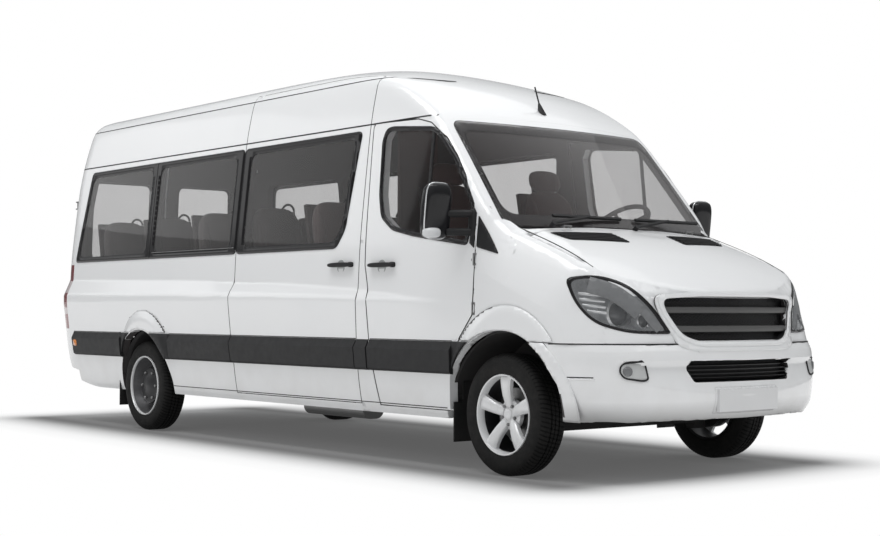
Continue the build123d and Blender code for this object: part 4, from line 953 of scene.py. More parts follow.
def grid_faces(rows, columns, closed_rows=False, closed_columns=False):
    """Four-sided faces of a grid of points whose rows or columns may close on themselves."""
    i, j = np.meshgrid(np.arange(rows if closed_rows else rows - 1),
                       np.arange(columns if closed_columns else columns - 1), indexing="ij")
    low, high, beside = i * columns, (i + 1) % rows * columns, (j + 1) % columns
    return np.stack([low + j, high + j, high + beside, low + beside], -1).reshape(-1, 4).tolist()


def flipped(faces):
    """The same four-sided faces, turned to look the other way."""
    return [[a, d, c, b] for a, b, c, d in faces]


def swept(path, profile, up=(0.0, 0.0, 1.0), closed=False):
    """Profile carried along a path: its first axis points to the right of the run, its second upwards."""
    path, profile = np.array(path, float), np.array(profile, float)
    if closed:
        run = np.roll(path, -1, 0) - np.roll(path, 1, 0)
    else:
        run = np.gradient(path, axis=0)
    run /= np.linalg.norm(run, axis=1, keepdims=True)
    across = np.cross(run, up)
    across /= np.linalg.norm(across, axis=1, keepdims=True)
    rise = np.cross(across, run)
    points = path[:, None] + across[:, None] * profile[None, :, :1] + rise[:, None] * profile[None, :, 1:]
    count, around = len(path), len(profile)
    faces = grid_faces(count, around, closed, True)
    if not closed:
        faces += [list(range(around)), list(range(count * around - 1, (count - 1) * around - 1, -1))]
    return points.reshape(-1, 3), faces


def rod(path, radius, closed=False, around=12, up=(0.0, 0.0, 1.0)):
    """Round bar along a path."""
    return swept(path, circle(0.0, 0.0, radius, around)[::-1], up, closed)


def turned(profile, centre, axis, around=48):
    """Points (radius, distance along the axis) turned round an axis through the centre."""
    profile, axis = np.array(profile, float), np.array(axis, float) / np.linalg.norm(axis)
    first = np.cross(axis, (0.0, 0.0, 1.0))
    first /= np.linalg.norm(first)
    second = np.cross(axis, first)
    turn = np.linspace(0.0, 2 * np.pi, around, endpoint=False)[:, None]
    reach = first * np.cos(turn) + second * np.sin(turn)
    points = np.array(centre) + reach[:, None] * profile[None, :, :1] + axis * profile[None, :, 1:]
    return points.reshape(-1, 3), grid_faces(around, len(profile), True)


def eased_line(points, rounds=2):
    """The eased line as an array of points."""
    return np.stack(eased(points, rounds), 1)


# ---------------------------------------------------------------- windows

REAR_PANE = ((-1.835, 1.352), (-1.835, 2.080), (-2.965, 2.080), (-3.105, 1.352))
MIDDLE_PANE = ((-0.535, 1.352), (-0.535, 2.080), (-1.765, 2.080), (-1.765, 1.352))
SLIDER_PANE = ((-0.405, 1.352), (0.800, 1.352), (0.885, 1.470), (0.975, 2.080), (-0.405, 2.080))
REAR_BAND = ((-0.4725, 1.338), (-0.4725, 2.098), (-2.975, 2.098), (-3.130, 1.338))
SLIDER_BAND = ((-0.4665, 1.338), (0.806, 1.338), (0.900, 1.462), (0.997, 2.098), (-0.4665, 2.098))
LEFT_BAND = ((0.806, 1.338), (0.900, 1.462), (0.997, 2.098), (-2.975, 2.098), (-3.130, 1.338))
DOOR_PANE = ((1.240, 2.015), (1.270, 2.075), (1.330, 2.082), (1.745, 2.044), (1.815, 2.010), (1.990, 1.845),
             (2.195, 1.554), (2.160, 1.333), (1.640, 1.405), (1.420, 1.450), (1.300, 1.530), (1.260, 1.665))
SAIL = ((2.192, 1.330), (2.232, 1.302), (2.236, 1.505), (2.206, 1.545))
WING_SAIL = ((2.252, 1.492), (2.252, 1.306), (2.425, 1.262))
SCREEN = ((-0.862, 1.418), (0.862, 1.418), (0.812, 2.100), (-0.812, 2.100))
SCREEN_VIEW = ((-0.815, 1.500), (0.815, 1.500), (0.774, 2.036), (-0.774, 2.036))
REAR_LEAF_PANE = ((0.105, 1.345), (0.722, 1.345), (0.690, 2.080), (0.105, 2.080))


def on_side(side, proud):
    """Takes flat (x, z) points to the body side, a little outside it."""
    return facing(body_field, 1, side * 0.93, proud)


def on_rear(proud):
    """Takes flat (y, z) points to the rear face, a little outside it."""
    return facing(body_field, 0, -3.45, proud)


def on_screen(proud):
    """Takes flat (y, z) points to the bowed front of the cab, a little outside it."""
    return facing(body_field, 0, 2.15, proud)


SIDE_PANES = (REAR_PANE, MIDDLE_PANE, SLIDER_PANE)
BANDS = {                        # name, outline, panes that are cut out of it
    "right": (("rear_band", REAR_BAND, SIDE_PANES[:2]), ("slider_band", SLIDER_BAND, SIDE_PANES[2:])),
    "left": (("side_band", LEFT_BAND, SIDE_PANES),),
}
DOOR_DIVIDER = ((1.748, 1.372), (1.774, 1.368), (1.768, 2.048), (1.742, 2.052))

for side_name, side in SIDES:
    for name, outline, panes in BANDS[side_name]:
        views = [rounded(outset(pane, -0.030), 0.075) for pane in panes]
        sheet(f"{name}_{side_name}", rounded(outline, 0.045), views, on_side(side, 0.004), BAND, "chassis",
              0.010)
    panes = [filled(outset(pane, -0.008)) for pane in SIDE_PANES]
    place = on_side(side, 0.001)
    built(f"side_panes_{side_name}", [(place(flat), faces) for flat, faces in panes], SIDE_GLASS, "chassis",
          ["side_glass"], 35.0, 0.004, place.away)
    door_body = BODY_OF[f"door_{side_name}"]
    sheet(f"door_frame_{side_name}", rounded(outset(DOOR_PANE, 0.016), 0.04),
          [rounded(outset(DOOR_PANE, -0.012), 0.04)], on_side(side, 0.003), BAND, door_body, 0.010, 0.03)
    sheet(f"door_pane_{side_name}", outset(DOOR_PANE, -0.004), [], on_side(side, -0.001), SIDE_GLASS,
          door_body, 0.004, 0.03, [f"glass_door_{side_name}"])
    sheet(f"door_divider_{side_name}", DOOR_DIVIDER, [], on_side(side, 0.002), STRIP, door_body, 0.008)
    sheet(f"door_sail_{side_name}", SAIL, [], on_side(side, 0.006), TRIM, door_body, 0.008)
    sheet(f"wing_sail_{side_name}", rounded(WING_SAIL, 0.015), [], facing(cab_field, 1, side * 0.93, 0.004),
          TRIM, "chassis", 0.008, 0.02)
    leaf_body = BODY_OF[f"rear_door_{side_name}"]
    leaf = np.array(REAR_LEAF_PANE) * (side, 1.0)
    sheet(f"leaf_band_{side_name}", rounded(outset(leaf, 0.022), 0.06), [rounded(outset(leaf, -0.028), 0.06)],
          on_rear(0.004), BAND, leaf_body, 0.008)
    sheet(f"leaf_pane_{side_name}", outset(leaf, -0.006), [], on_rear(0.001), SIDE_GLASS, leaf_body,
          0.004, 0.04, [f"glass_rear_door_{side_name}"])
sheet("pane_joint", ribbon(((-1.800, 1.342), (-1.800, 2.094)), 0.006), [], on_side(-1.0, 0.0055),
      TRIM, "chassis")
sheet("slide_rail_0", ribbon(((-1.76, 1.386), (-0.50, 1.386)), 0.004), [], on_side(-1.0, 0.009),
      STEEL, "chassis")
sheet("screen_border", rounded(SCREEN, 0.075, 8), [rounded(SCREEN_VIEW, 0.085, 8)], on_screen(0.002), BAND,
      "chassis", 0.006)
sheet("screen_sheet", rounded(outset(SCREEN, -0.004), 0.075, 8), [], on_screen(0.0025),
      SCREEN_GLASS, "chassis", 0.007, 0.04, ["windscreen"])

# ---------------------------------------------------------------- strips, gutters and seams along the sides

STRIP_PROFILE = ((-0.004, 0.757), (0.001, 0.7565), (0.029, 0.704), (0.026, 0.580), (0.014, 0.566),
                 (-0.004, 0.563))
STRIP_RUNS = {
    "right": ((-3.072, -2.190), (-1.385, -0.472), (-0.464, 1.071), (1.080, 1.206)),
    "left": ((-3.072, -2.190), (-1.385, 1.071), (1.080, 1.206)),
}
DOOR_STRIP = (1.220, 2.050)


def strip_part(x_from, x_to, side):
    """One run of the side strip: its section stands out from the body side; the ends are closed."""
    xs = np.linspace(x_from, x_to, max(2, int(abs(x_to - x_from) / 0.05)))
    out, height = np.array(STRIP_PROFILE).T
    x, z = np.meshgrid(xs, height, indexing="ij")
    half = half_width(x.ravel(), z.ravel()).reshape(x.shape) + out
    points = np.stack([x, side * half, z], -1).reshape(-1, 3)
    count = len(height)
    ends = [list(range(count)), list(range(len(points) - count, len(points)))]
    return points, grid_faces(len(xs), count) + ends


GUTTERS = (((-3.34, 2.143), (1.75, 2.131), 0.009), ((-3.30, 2.452), (1.28, 2.440), 0.006))
SEAM = 0.005                     # width of a seam line
SEAM_PROUD = 0.0012
DOOR_SEAM = ((1.285, 0.350), (1.213, 0.755), (1.184, 1.079), (1.145, 1.225), (1.114, 2.110), (1.135, 2.134),
             (1.445, 2.134), (1.584, 2.120), (1.720, 2.086), (1.882, 1.980), (1.986, 1.867), (2.087, 1.740),
             (2.143, 1.645))
SLIDER_SEAMS = (((-0.4695, 0.352), (-0.4695, 2.470)), ((1.0775, 0.352), (1.0775, 2.455)))
SILL_SEAM = ((-1.415, 0.362), (1.960, 0.362))
SEAMS = {"right": (DOOR_SEAM,) + SLIDER_SEAMS + (SILL_SEAM,), "left": (DOOR_SEAM, SILL_SEAM)}
WING_SEAM = ((2.243, 1.290), (2.233, 0.915), (2.109, 0.774))
BONNET_SEAM = ((2.440, 0.8035), (3.060, 0.8035))
STRIP_LINE_HEIGHT = 0.7605

for side_name, side in SIDES:
    seam_place = on_side(side, SEAM_PROUD)
    door_body = BODY_OF[f"door_{side_name}"]
    runs = [strip_part(start, end, side) for start, end in STRIP_RUNS[side_name]]
    built(f"side_strips_{side_name}", runs, STRIP, "chassis", ["strips"], 30.0, 0.0, seam_place.away)
    built(f"door_strip_{side_name}", [strip_part(*DOOR_STRIP, side)], STRIP, door_body,
          [f"strip_door_{side_name}"], 30.0, 0.0, seam_place.away)
    for number, (start, end, width) in enumerate(GUTTERS):
        sheet(f"gutter_{number}_{side_name}", ribbon((start, end), width, 0.06), [], seam_place, SEAL,
              "chassis", 0.004, 0.2)
    for number, line in enumerate(SEAMS[side_name]):
        sheet(f"seam_{number}_{side_name}", ribbon(line, SEAM), [], seam_place, SEAL, "chassis", 0.003, 0.2)
    sheet(f"wing_seam_{side_name}", ribbon(WING_SEAM, SEAM), [],
          facing(cab_field, 1, side * 0.98, SEAM_PROUD), SEAL, "chassis", 0.003, 0.2)
    sheet(f"bonnet_seam_{side_name}", ribbon(np.array(BONNET_SEAM) * (1.0, side), 0.006), [],
          facing(nose_field, 2, 1.3, SEAM_PROUD), SEAL, "chassis", 0.003, 0.2)
    for start, end, body in ((-3.068, -2.195, "chassis"), (-1.385, 1.071, "chassis"),
                             (1.225, 2.045, door_body)):
        line = ribbon(((start, STRIP_LINE_HEIGHT), (end, STRIP_LINE_HEIGHT)), SEAM)
        sheet(f"strip_line_{side_name}_{int(end * 10)}", line, [], seam_place, SEAL, body, 0.003, 0.2)

# ---------------------------------------------------------------- nose: lamps, grille, bumper

LAMP = ((1.450, 1.111), (1.605, 1.128), (1.768, 1.084), (1.902, 0.975), (2.005, 0.822), (1.789, 0.824),
        (1.605, 0.876), (1.503, 0.980))
LAMP_CORNERS = (0.045, 0.075, 0.085, 0.085, 0.022, 0.085, 0.085, 0.085)
LAMP_TUBE = ((1.570, 1.080), (1.690, 1.048), (1.785, 0.985), (1.850, 0.925))
LAMP_EDGE = ((1.860, 0.950), (1.915, 0.880), (1.955, 0.835))
FOG = ((1.745, 0.640), (1.765, 0.657), (1.872, 0.662), (1.893, 0.572), (1.862, 0.566), (1.765, 0.580),
       (1.742, 0.610))
GRILLE_OPENING = ((-0.545, 1.004), (-0.300, 1.018), (0.300, 1.018), (0.545, 1.004), (0.500, 0.905),
                  (0.440, 0.805), (0.340, 0.772), (-0.340, 0.772), (-0.440, 0.805), (-0.500, 0.905))
SURROUND = ((-0.592, 1.026), (-0.300, 1.040), (0.300, 1.040), (0.592, 1.026), (0.548, 0.905), (0.497, 0.810),
            (0.480, 0.752), (0.390, 0.722), (-0.390, 0.722), (-0.480, 0.752), (-0.497, 0.810),
            (-0.548, 0.905))
INTAKE = ((-0.457, 0.660), (0.457, 0.660), (0.395, 0.556), (-0.395, 0.556))
VENT = ((2.568, 0.690), (2.712, 0.655), (2.782, 0.225), (2.612, 0.225))


def corner(field, side, level=0.0):
    """Takes flat (s, z) points to the nose corner: s runs along its diagonal, from the door to the middle."""
    def place(flat):
        s, z = np.array(flat, float).T
        start = np.stack([(s + 2.78) / math.sqrt(2), side * (2.78 - s) / math.sqrt(2), z], 1)
        return laid(field, start, place.away / math.sqrt(2), level)
    place.away = np.array((1.0, side, 0.0))
    return place


def walled(outline, place, top, base, inward, pitch=0.02):
    """Band of faces from an outline on one level down to the same outline, drawn in, on a deeper level."""
    upper = dense(outline, pitch)
    middle = upper.mean(0)
    points = np.vstack([place(top)(upper), place(base)(middle + (upper - middle) * inward)])
    return points, flipped(grid_faces(2, len(upper), False, True))


def front_field(p):
    """Distance outside the nose and the bumper together."""
    return np.minimum(nose_field(p), bumper_field(p))


lamp_line = rounded(LAMP, LAMP_CORNERS)
CORNER_SHEETS = (                # name, outline, holes, field, level, material, thickness, pitch
    ("lamp_lens", lamp_line, [], nose_field, 0.0015, CLEAR, 0.003, 0.03),
    ("lamp_rim", rounded(outset(LAMP, 0.008), LAMP_CORNERS), [rounded(outset(LAMP, -0.008), LAMP_CORNERS)],
     nose_field, 0.0025, BAND, 0.010, 0.03),
    ("lamp_tube_0", ribbon(eased_line(LAMP_TUBE), 0.088), [], nose_field, 0.0045, GREY_LENS, 0.004, 0.03),
    ("lamp_tube_1", ribbon(eased_line(LAMP_EDGE), 0.046), [], nose_field, 0.0039, GREY_LENS, 0.004, 0.03),
    ("fog_lens", rounded(FOG, 0.02), [], bumper_field, 0.006, MILKY_FOG, 0.006, 0.03),
    ("fog_rim", rounded(outset(FOG, 0.005), 0.02), [rounded(outset(FOG, -0.003), 0.02)],
     bumper_field, 0.008, TRIM, 0.010, 0.03),
    ("bumper_seam", ribbon(((1.352, 0.7585), (2.085, 0.7585)), 0.007), [],
     front_field, 0.0015, SEAL, 0.004, 0.1),
    # painted shade: a dark strip laid along the bumper's crease
    ("bumper_crease_shade", ribbon(((1.395, 0.580), (1.600, 0.580)), 0.006), [],
     bumper_field, 0.0010, STRIP, 0.003, 0.1),
    ("bumper_glint", ribbon(((1.400, 0.570), (1.610, 0.570)), 0.008), [],
     bumper_field, 0.0020, PAINT, 0.003, 0.1),
)
BOWL_DEPTH = -0.150
BOWL_INWARD = 0.86
PROJECTOR = (3.140, 0.694, 0.921)
SIDE_LAMP = (3.246, 0.608, 0.883)
LAMP_RINGS = (
    (((0.062, -0.055), (0.064, 0.004), (0.070, 0.014), (0.084, 0.010), (0.090, -0.055)), PROJECTOR),
    (((0.033, -0.045), (0.034, 0.004), (0.038, 0.008), (0.044, 0.003), (0.046, -0.045)), SIDE_LAMP),
)
LAMP_GLASSES = (
    (((0.0, 0.022), (0.025, 0.019), (0.045, 0.010), (0.0625, -0.006)), PROJECTOR),
    (((0.0, 0.010), (0.018, 0.007), (0.0335, -0.004)), SIDE_LAMP),
)
LAMP_RIBS = ((1.032, 1.515, 1.650), (1.000, 1.522, 1.660), (0.968, 1.540, 1.665), (0.936, 1.565, 1.670))
FOG_SPOT = ((0.0, 0.004), (0.016, 0.002), (0.022, 0.006), (0.027, 0.0), (0.027, -0.012))

for side_name, side in SIDES:
    for name, outline, holes, field, level, material, thick, pitch in CORNER_SHEETS:
        sheet(f"{name}_{side_name}", outline, holes, corner(field, side, level), material,
              "chassis", thick, pitch, ["headlamps"] if name == "lamp_lens" else ())
    rim = dense(lamp_line, 0.02)
    flat, faces = filled(rim.mean(0) + (rim - rim.mean(0)) * BOWL_INWARD, (), 0.04)
    bowl = [(corner(nose_field, side, BOWL_DEPTH)(flat), faces),
            walled(lamp_line, lambda level: corner(nose_field, side, level), -0.004, BOWL_DEPTH, BOWL_INWARD)]
    built(f"lamp_bowl_{side_name}", bowl, REFLECTOR, "chassis", (), 30.0)
    forward = (0.985, side * 0.16, 0.05)
    for name, turnings, material, smooth in (("rings", LAMP_RINGS, SATIN, 40.0),
                                             ("projector", LAMP_GLASSES, GREY_LENS, 60.0)):
        built(f"lamp_{name}_{side_name}", [turned(p, (x, side * y, z), forward) for p, (x, y, z) in turnings],
              material, "chassis", (), smooth)
    ribs = []
    for height, start, end in LAMP_RIBS:
        line = dense(((start, height), (end, height - 0.012)), 0.02, False)
        ribs.append(rod(corner(nose_field, side, -0.055)(line), 0.010))
    built(f"lamp_ribs_{side_name}", ribs, SATIN, "chassis")
    spot = corner(bumper_field, side, 0.008)(np.array([(1.782, 0.614)]))[0]
    built(f"fog_spot_{side_name}", [turned(FOG_SPOT, spot, (0.75, side * 0.66, 0.0))], GREY_LENS, "chassis",
          (), 30.0)
    vent = np.array(VENT) * (1.0, side)
    sheet(f"vent_{side_name}", rounded(vent, 0.035), [], facing(nose_field, 2, 1.40, 0.0015), BAND,
          "bonnet", 0.006)
    ribs = []
    for share in (0.14, 0.32, 0.50, 0.68, 0.86):
        ends = np.array((vent[0] * (1 - share) + vent[1] * share, vent[3] * (1 - share) + vent[2] * share))
        ends = ends[:1] + (ends[1:] - ends[:1]) * ((0.04,), (0.96,))
        ribs.append(rod(facing(nose_field, 2, 1.40, 0.003)(dense(ends, 0.04, False)), 0.006))
    built(f"vent_ribs_{side_name}", ribs, TRIM, "bonnet")


def on_front(level, field=front_field):
    """Takes flat (y, z) points to a level of the front."""
    return facing(field, 0, 3.35, level)


def on_bumper(level):
    """Takes flat (y, z) points to a level of the bumper."""
    return on_front(level, bumper_field)


SLAT = ((-0.004, -0.019), (0.012, -0.015), (0.016, 0.0), (0.012, 0.015), (-0.004, 0.019), (-0.035, 0.016),
        (-0.035, -0.016))
PLATE_BASE = ((-0.258, 0.376), (0.258, 0.376), (0.258, 0.520), (-0.258, 0.520))
grille_line = rounded(GRILLE_OPENING, 0.05)
sheet("grille_surround", rounded(SURROUND, 0.06), [grille_line], on_front(0.007), PAINT, "chassis",
      0.020, 0.03)
built("grille_wall", [walled(grille_line, on_front, 0.0, -0.060, 0.985)], TRIM, "chassis", (), 30.0)
sheet("grille_mesh", outset(grille_line, 0.004), [], on_front(-0.045), MESH, "chassis", 0.004, 0.04,
      ["grille"])
for number, (height, half) in enumerate(((0.944, 0.522), (0.839, 0.462))):
    line = dense(((-half, height), (half, height)), 0.04, False)
    built(f"grille_slat_{number}", [swept(on_front(-0.018, nose_field)(line), SLAT)], SLAT_GREY, "chassis")
sheet("grille_lip", rounded(outset(GRILLE_OPENING, 0.026), 0.06), [grille_line], on_front(0.013),
      PAINT, "chassis", 0.012, 0.03)
intake_line = rounded(INTAKE, (0.02, 0.02, 0.07, 0.07))
sheet("intake_mesh", intake_line, [], on_bumper(-0.045), TRIM, "chassis")
built("intake_wall", [walled(outset(intake_line, 0.002), on_bumper, -0.001, -0.050, 0.98)], TRIM, "chassis",
      (), 30.0)
bars = []
for height in (0.640, 0.617, 0.594, 0.573):
    half = 0.395 + (height - 0.556) * 0.58
    line = dense(((-half, height), (half, height)), 0.05, False)
    bars.append(swept(on_bumper(-0.022)(line), np.array(SLAT) * (0.5, 0.24)))
built("intake_bars", bars, BAND, "chassis", (), 40.0)
sheet("plate_base", rounded(PLATE_BASE, 0.010), [], facing(bumper_field, 0, 3.40, 0.004), PAINT,
      "chassis", 0.010)

# ---------------------------------------------------------------- wheels and tyres

TYRE_LINE = ((0.226, 0.150), (0.232, 0.186), (0.246, 0.192), (0.275, 0.1950), (0.300, 0.1935), (0.322, 0.188),
             (0.336, 0.178), (0.344, 0.166), (0.3475, 0.150), (0.3475, 0.131), (0.341, 0.130), (0.341, 0.122),
             (0.348, 0.121), (0.348, 0.101), (0.341, 0.100), (0.341, 0.095), (0.348, 0.094), (0.348, 0.074),
             (0.341, 0.073), (0.341, 0.065), (0.3475, 0.064), (0.3475, 0.045), (0.344, 0.029), (0.336, 0.017),
             (0.322, 0.007), (0.300, 0.0015), (0.275, 0.0), (0.246, 0.003), (0.232, 0.009), (0.226, 0.045))
TYRE_WIDTH = 0.195
WHEEL_PLACES = {"front": (FRONT_AXLE, 0.952), "rear": (REAR_AXLE, 0.968)}
RIMS = {
    "front": ((0.232, -0.012), (0.228, -0.004), (0.222, -0.006), (0.216, -0.022), (0.212, -0.050),
              (0.226, -0.060)),
    "rear": ((0.232, -0.012), (0.229, -0.001), (0.223, 0.000), (0.219, -0.008), (0.218, -0.018),
             (0.226, -0.060)),
}
BARRELS = {
    "front": ((0.212, -0.050), (0.207, -0.120), (0.214, -0.190), (0.228, -0.195), (0.230, -0.150),
              (0.226, -0.060)),
    "rear": ((0.218, -0.018), (0.208, -0.060), (0.194, -0.095), (0.176, -0.124), (0.168, -0.130),
             (0.176, -0.150), (0.200, -0.120), (0.226, -0.060)),
}
HUB_CAP = ((0.0, -0.038), (0.022, -0.039), (0.030, -0.043), (0.034, -0.052), (0.070, -0.058), (0.086, -0.066),
           (0.090, -0.090), (0.0, -0.090))
BRAKE_DISC = ((0.0, -0.110), (0.150, -0.110), (0.150, -0.134), (0.0, -0.134))
REAR_DISH = ((0.180, -0.120), (0.158, -0.112), (0.146, -0.070), (0.134, -0.052), (0.090, -0.046),
             (0.070, -0.034), (0.0, -0.030), (0.0, -0.150), (0.180, -0.150))
NUTS = {                         # reach from the hub, distance out, first angle, number, radius
    "front": (0.056, -0.054, 54, 5, 0.010),
    "rear": (0.110, -0.048, 0, 6, 0.012),
}
SPOKE_RADII = np.array((0.045, 0.075, 0.110, 0.150, 0.190, 0.214))
SPOKE_HALF = np.array((0.029, 0.031, 0.033, 0.036, 0.041, 0.047))
SPOKE_OUT = np.array((-0.050, -0.040, -0.028, -0.020, -0.018, -0.022))
SPOKE_SECTION = np.array(((-1.0, -0.034), (-1.0, -0.010), (-0.80, -0.001), (-0.40, 0.003), (0.0, 0.004),
                          (0.40, 0.003), (0.80, -0.001), (1.0, -0.010), (1.0, -0.034)))


def spoke(angle, x, y, z, side):
    """One wheel spoke: a domed section that widens towards the rim."""
    radius = SPOKE_RADII[:, None]
    across = SPOKE_SECTION[None, :, 0] * SPOKE_HALF[:, None]
    out = SPOKE_OUT[:, None] + SPOKE_SECTION[None, :, 1]
    turn = angle + np.arctan2(across, radius)
    reach = np.hypot(radius, across)
    points = np.stack([x + reach * np.cos(turn), side * (y + out), z + reach * np.sin(turn)], -1)
    rows, count = len(SPOKE_RADII), len(SPOKE_SECTION)
    ends = [list(range(count)), list(range(count * (rows - 1), count * rows))]
    return points.reshape(-1, 3), grid_faces(rows, count, False, True) + ends


for place, (wheel_x, wheel_y) in WHEEL_PLACES.items():
    for side_name, side in SIDES:
        axis = (0.0, side, 0.0)
        hub = np.array((wheel_x, side * wheel_y, HUB_HEIGHT))
        body = f"{place}_wheel_{side_name}"
        line = [(r, d - TYRE_WIDTH) for r, d in TYRE_LINE]
        built(f"tyre_{place}_{side_name}_whole", [turned(line + line[:1], hub, axis, 96)], TREAD, body,
              [f"tyre_{place}_{side_name}"], 40.0)
        parts = [turned(RIMS[place] + RIMS[place][:1], hub, axis, 96)]
        if place == "front":
            parts += [spoke(math.radians(90 + 72 * k), wheel_x, wheel_y, HUB_HEIGHT, side) for k in range(5)]
            parts.append(turned(HUB_CAP, hub, axis, 60))
            built(f"disc_front_{side_name}", [turned(BRAKE_DISC, hub, axis, 60)], STEEL,
                  f"knuckle_{side_name}", (), 30.0)
        else:
            built(f"dish_rear_{side_name}", [turned(REAR_DISH, hub, axis, 72)], DARK_WHEEL, body)
        built(f"rim_{place}_{side_name}", parts, ALLOY, body, [f"wheel_{place}_{side_name}"])
        built(f"barrel_{place}_{side_name}", [turned(BARRELS[place] + BARRELS[place][:1], hub, axis, 96)],
              BARREL if place == "rear" else DARK_WHEEL, body)
        reach, out, first_turn, count, radius = NUTS[place]
        nuts = []
        for number in range(count):
            turn = math.radians(first_turn + 360 // count * number)
            spot = hub + np.array((reach * math.cos(turn), side * out, reach * math.sin(turn)))
            line = ((0.0, 0.012), (radius * 0.8, 0.012), (radius, 0.008), (radius, -0.010))
            nuts.append(turned(line, spot, axis, 6))
        built(f"nuts_{place}_{side_name}", nuts, STEEL, body, (), 30.0)

# ---------------------------------------------------------------- mirrors and handles


def bulged(centre, half, power=2.6, around=40, rows=24, lean=0.0):
    """A rounded block: a ball whose section is drawn out towards a box; lean tips its top forward."""
    turn = np.linspace(0.0, 2 * np.pi, around, endpoint=False)[None, :]
    rise = np.linspace(-np.pi / 2, np.pi / 2, rows)[:, None]
    shape = [np.cos(rise) * np.cos(turn), np.cos(rise) * np.sin(turn), np.sin(rise) + 0 * turn]
    size = (np.abs(shape[0]) ** power + np.abs(shape[1]) ** power + np.abs(shape[2]) ** power) ** (1 / power)
    points = np.stack([c / size * h for c, h in zip(shape, half)], -1).reshape(-1, 3)
    points[:, 0] += lean * points[:, 2]
    return points + np.array(centre), flipped(grid_faces(rows, around, False, True))


HANDLES = (("slide_right", -1.0, 0.884, 1.232, "chassis"), ("door_right", -1.0, 1.338, 1.222, "door_right"),
           ("door_left", 1.0, 1.338, 1.222, "door_left"))
HANDLE_HALF = 0.137
RECESS_LINE = ((0.0, 0.001), (0.030, 0.001), (0.040, 0.002), (0.044, 0.0015), (0.046, -0.004))
MIRROR_PLACE = (2.073, 1.122, 1.516)
MIRROR_HALF = (0.052, 0.086, 0.160)
MIRROR_POWER = 4.5
MIRROR_LEAN = 0.12
for side_name, side in SIDES:
    body = BODY_OF[f"mirror_{side_name}"]
    centre = np.array(MIRROR_PLACE) * (1.0, side, 1.0)
    built(f"mirror_housing_{side_name}", [bulged(centre, MIRROR_HALF, MIRROR_POWER, 48, 40, MIRROR_LEAN)],
          GLOSS_BLACK, body, [f"mirror_{side_name}"], 50.0)
    turn = np.linspace(0.0, 2 * np.pi, 64, endpoint=False)
    across, rise = np.cos(turn), np.sin(turn)
    swell = (np.abs(across) ** MIRROR_POWER + np.abs(rise) ** MIRROR_POWER) ** (-1 / MIRROR_POWER)
    ring = np.stack([MIRROR_LEAN * MIRROR_HALF[2] * rise * swell, 0.0868 * across * swell,
                     0.161 * rise * swell], 1) + centre + (0.012, 0.0, 0.0)
    built(f"mirror_rim_{side_name}", [rod(ring, 0.0045, True, 8, (1.0, 0.0, 0.0))], SATIN, body)
    lens_place = centre + (0.012, side * 0.040, -0.128)
    built(f"mirror_lens_{side_name}", [bulged(lens_place, (0.046, 0.050, 0.030), 3.0)], CLEAR_SOLID, body)
    parts = []
    for z in (1.395, 1.502):
        path = ((2.200, side * 0.955, z), (2.165, side * 1.000, z), (2.100, side * 1.060, z))
        parts.append(rod(path, 0.022))
    parts.append(bulged((2.205, side * 0.950, 1.445), (0.030, 0.022, 0.085), 3.0))
    built(f"mirror_arms_{side_name}", parts, TRIM, body)
for name, side, x, z, body in HANDLES:
    y = side * float(half_width(np.array([x]), np.array([z]))[0])
    built(f"recess_{name}", [turned(RECESS_LINE, (x - 0.012, y, z - 0.012), (0, side, 0))], RECESS_SHADE, body, (),
          30.0)
    grip = bulged((x, y + side * 0.022, z), (HANDLE_HALF, 0.011, 0.015), 3.2)
    rear_post = bulged((x - HANDLE_HALF + 0.03, y + side * 0.008, z), (0.020, 0.016, 0.013), 3.0)
    front_post = bulged((x + HANDLE_HALF - 0.03, y + side * 0.008, z), (0.024, 0.018, 0.017), 3.0)
    built(f"handle_{name}", [grip, rear_post, front_post], TRIM, body)

# ---------------------------------------------------------------- arches: flares and liners

FLARE_FOOT = 0.764
ARCH_INSET = 0.010               # how far the liner lies inside the lip


def side_arc(x, z, radius, turn):
    """Points on a circle in the side view."""
    return np.stack([x + radius * np.cos(turn), z + radius * np.sin(turn)], 1)


def flare_outline(lip_x, lip_z, lip_radius, flare_x, flare_z, flare_radius):
    """Crescent between the flare circle and the lip circle, above the flare's foot."""
    turn = np.linspace(math.radians(-80.0), math.radians(260.0), 240)
    outer = side_arc(flare_x, flare_z, flare_radius, turn)
    clear = np.hypot(outer[:, 0] - lip_x, outer[:, 1] - lip_z) > lip_radius + 0.006
    low = math.asin((FLARE_FOOT - lip_z) / lip_radius)
    inner = side_arc(lip_x, lip_z, lip_radius + 0.004, np.linspace(math.pi - low, low, 90))
    return np.vstack([outer[clear & (outer[:, 1] > FLARE_FOOT)], inner])


def ring_part(arch, inner, outer, low, high, toward, pull):
    """Part of a ring round an arch between two heights, on the side given by toward, its foot pulled in."""
    lip_x, lip_z = FLARES[arch][:2]
    heights = np.linspace(low, high, 24)
    sides = []
    for radius, order, foot in ((inner, 1, pull), (outer, -1, 0.0)):
        reach = np.sqrt(np.maximum(radius ** 2 - (heights - lip_z) ** 2, 0.0))
        reach = reach - foot * np.clip((0.54 - heights) / 0.20, 0.0, 1.0)
        sides.append(np.stack([lip_x + toward * reach, heights], 1)[::order])
    return np.vstack(sides)


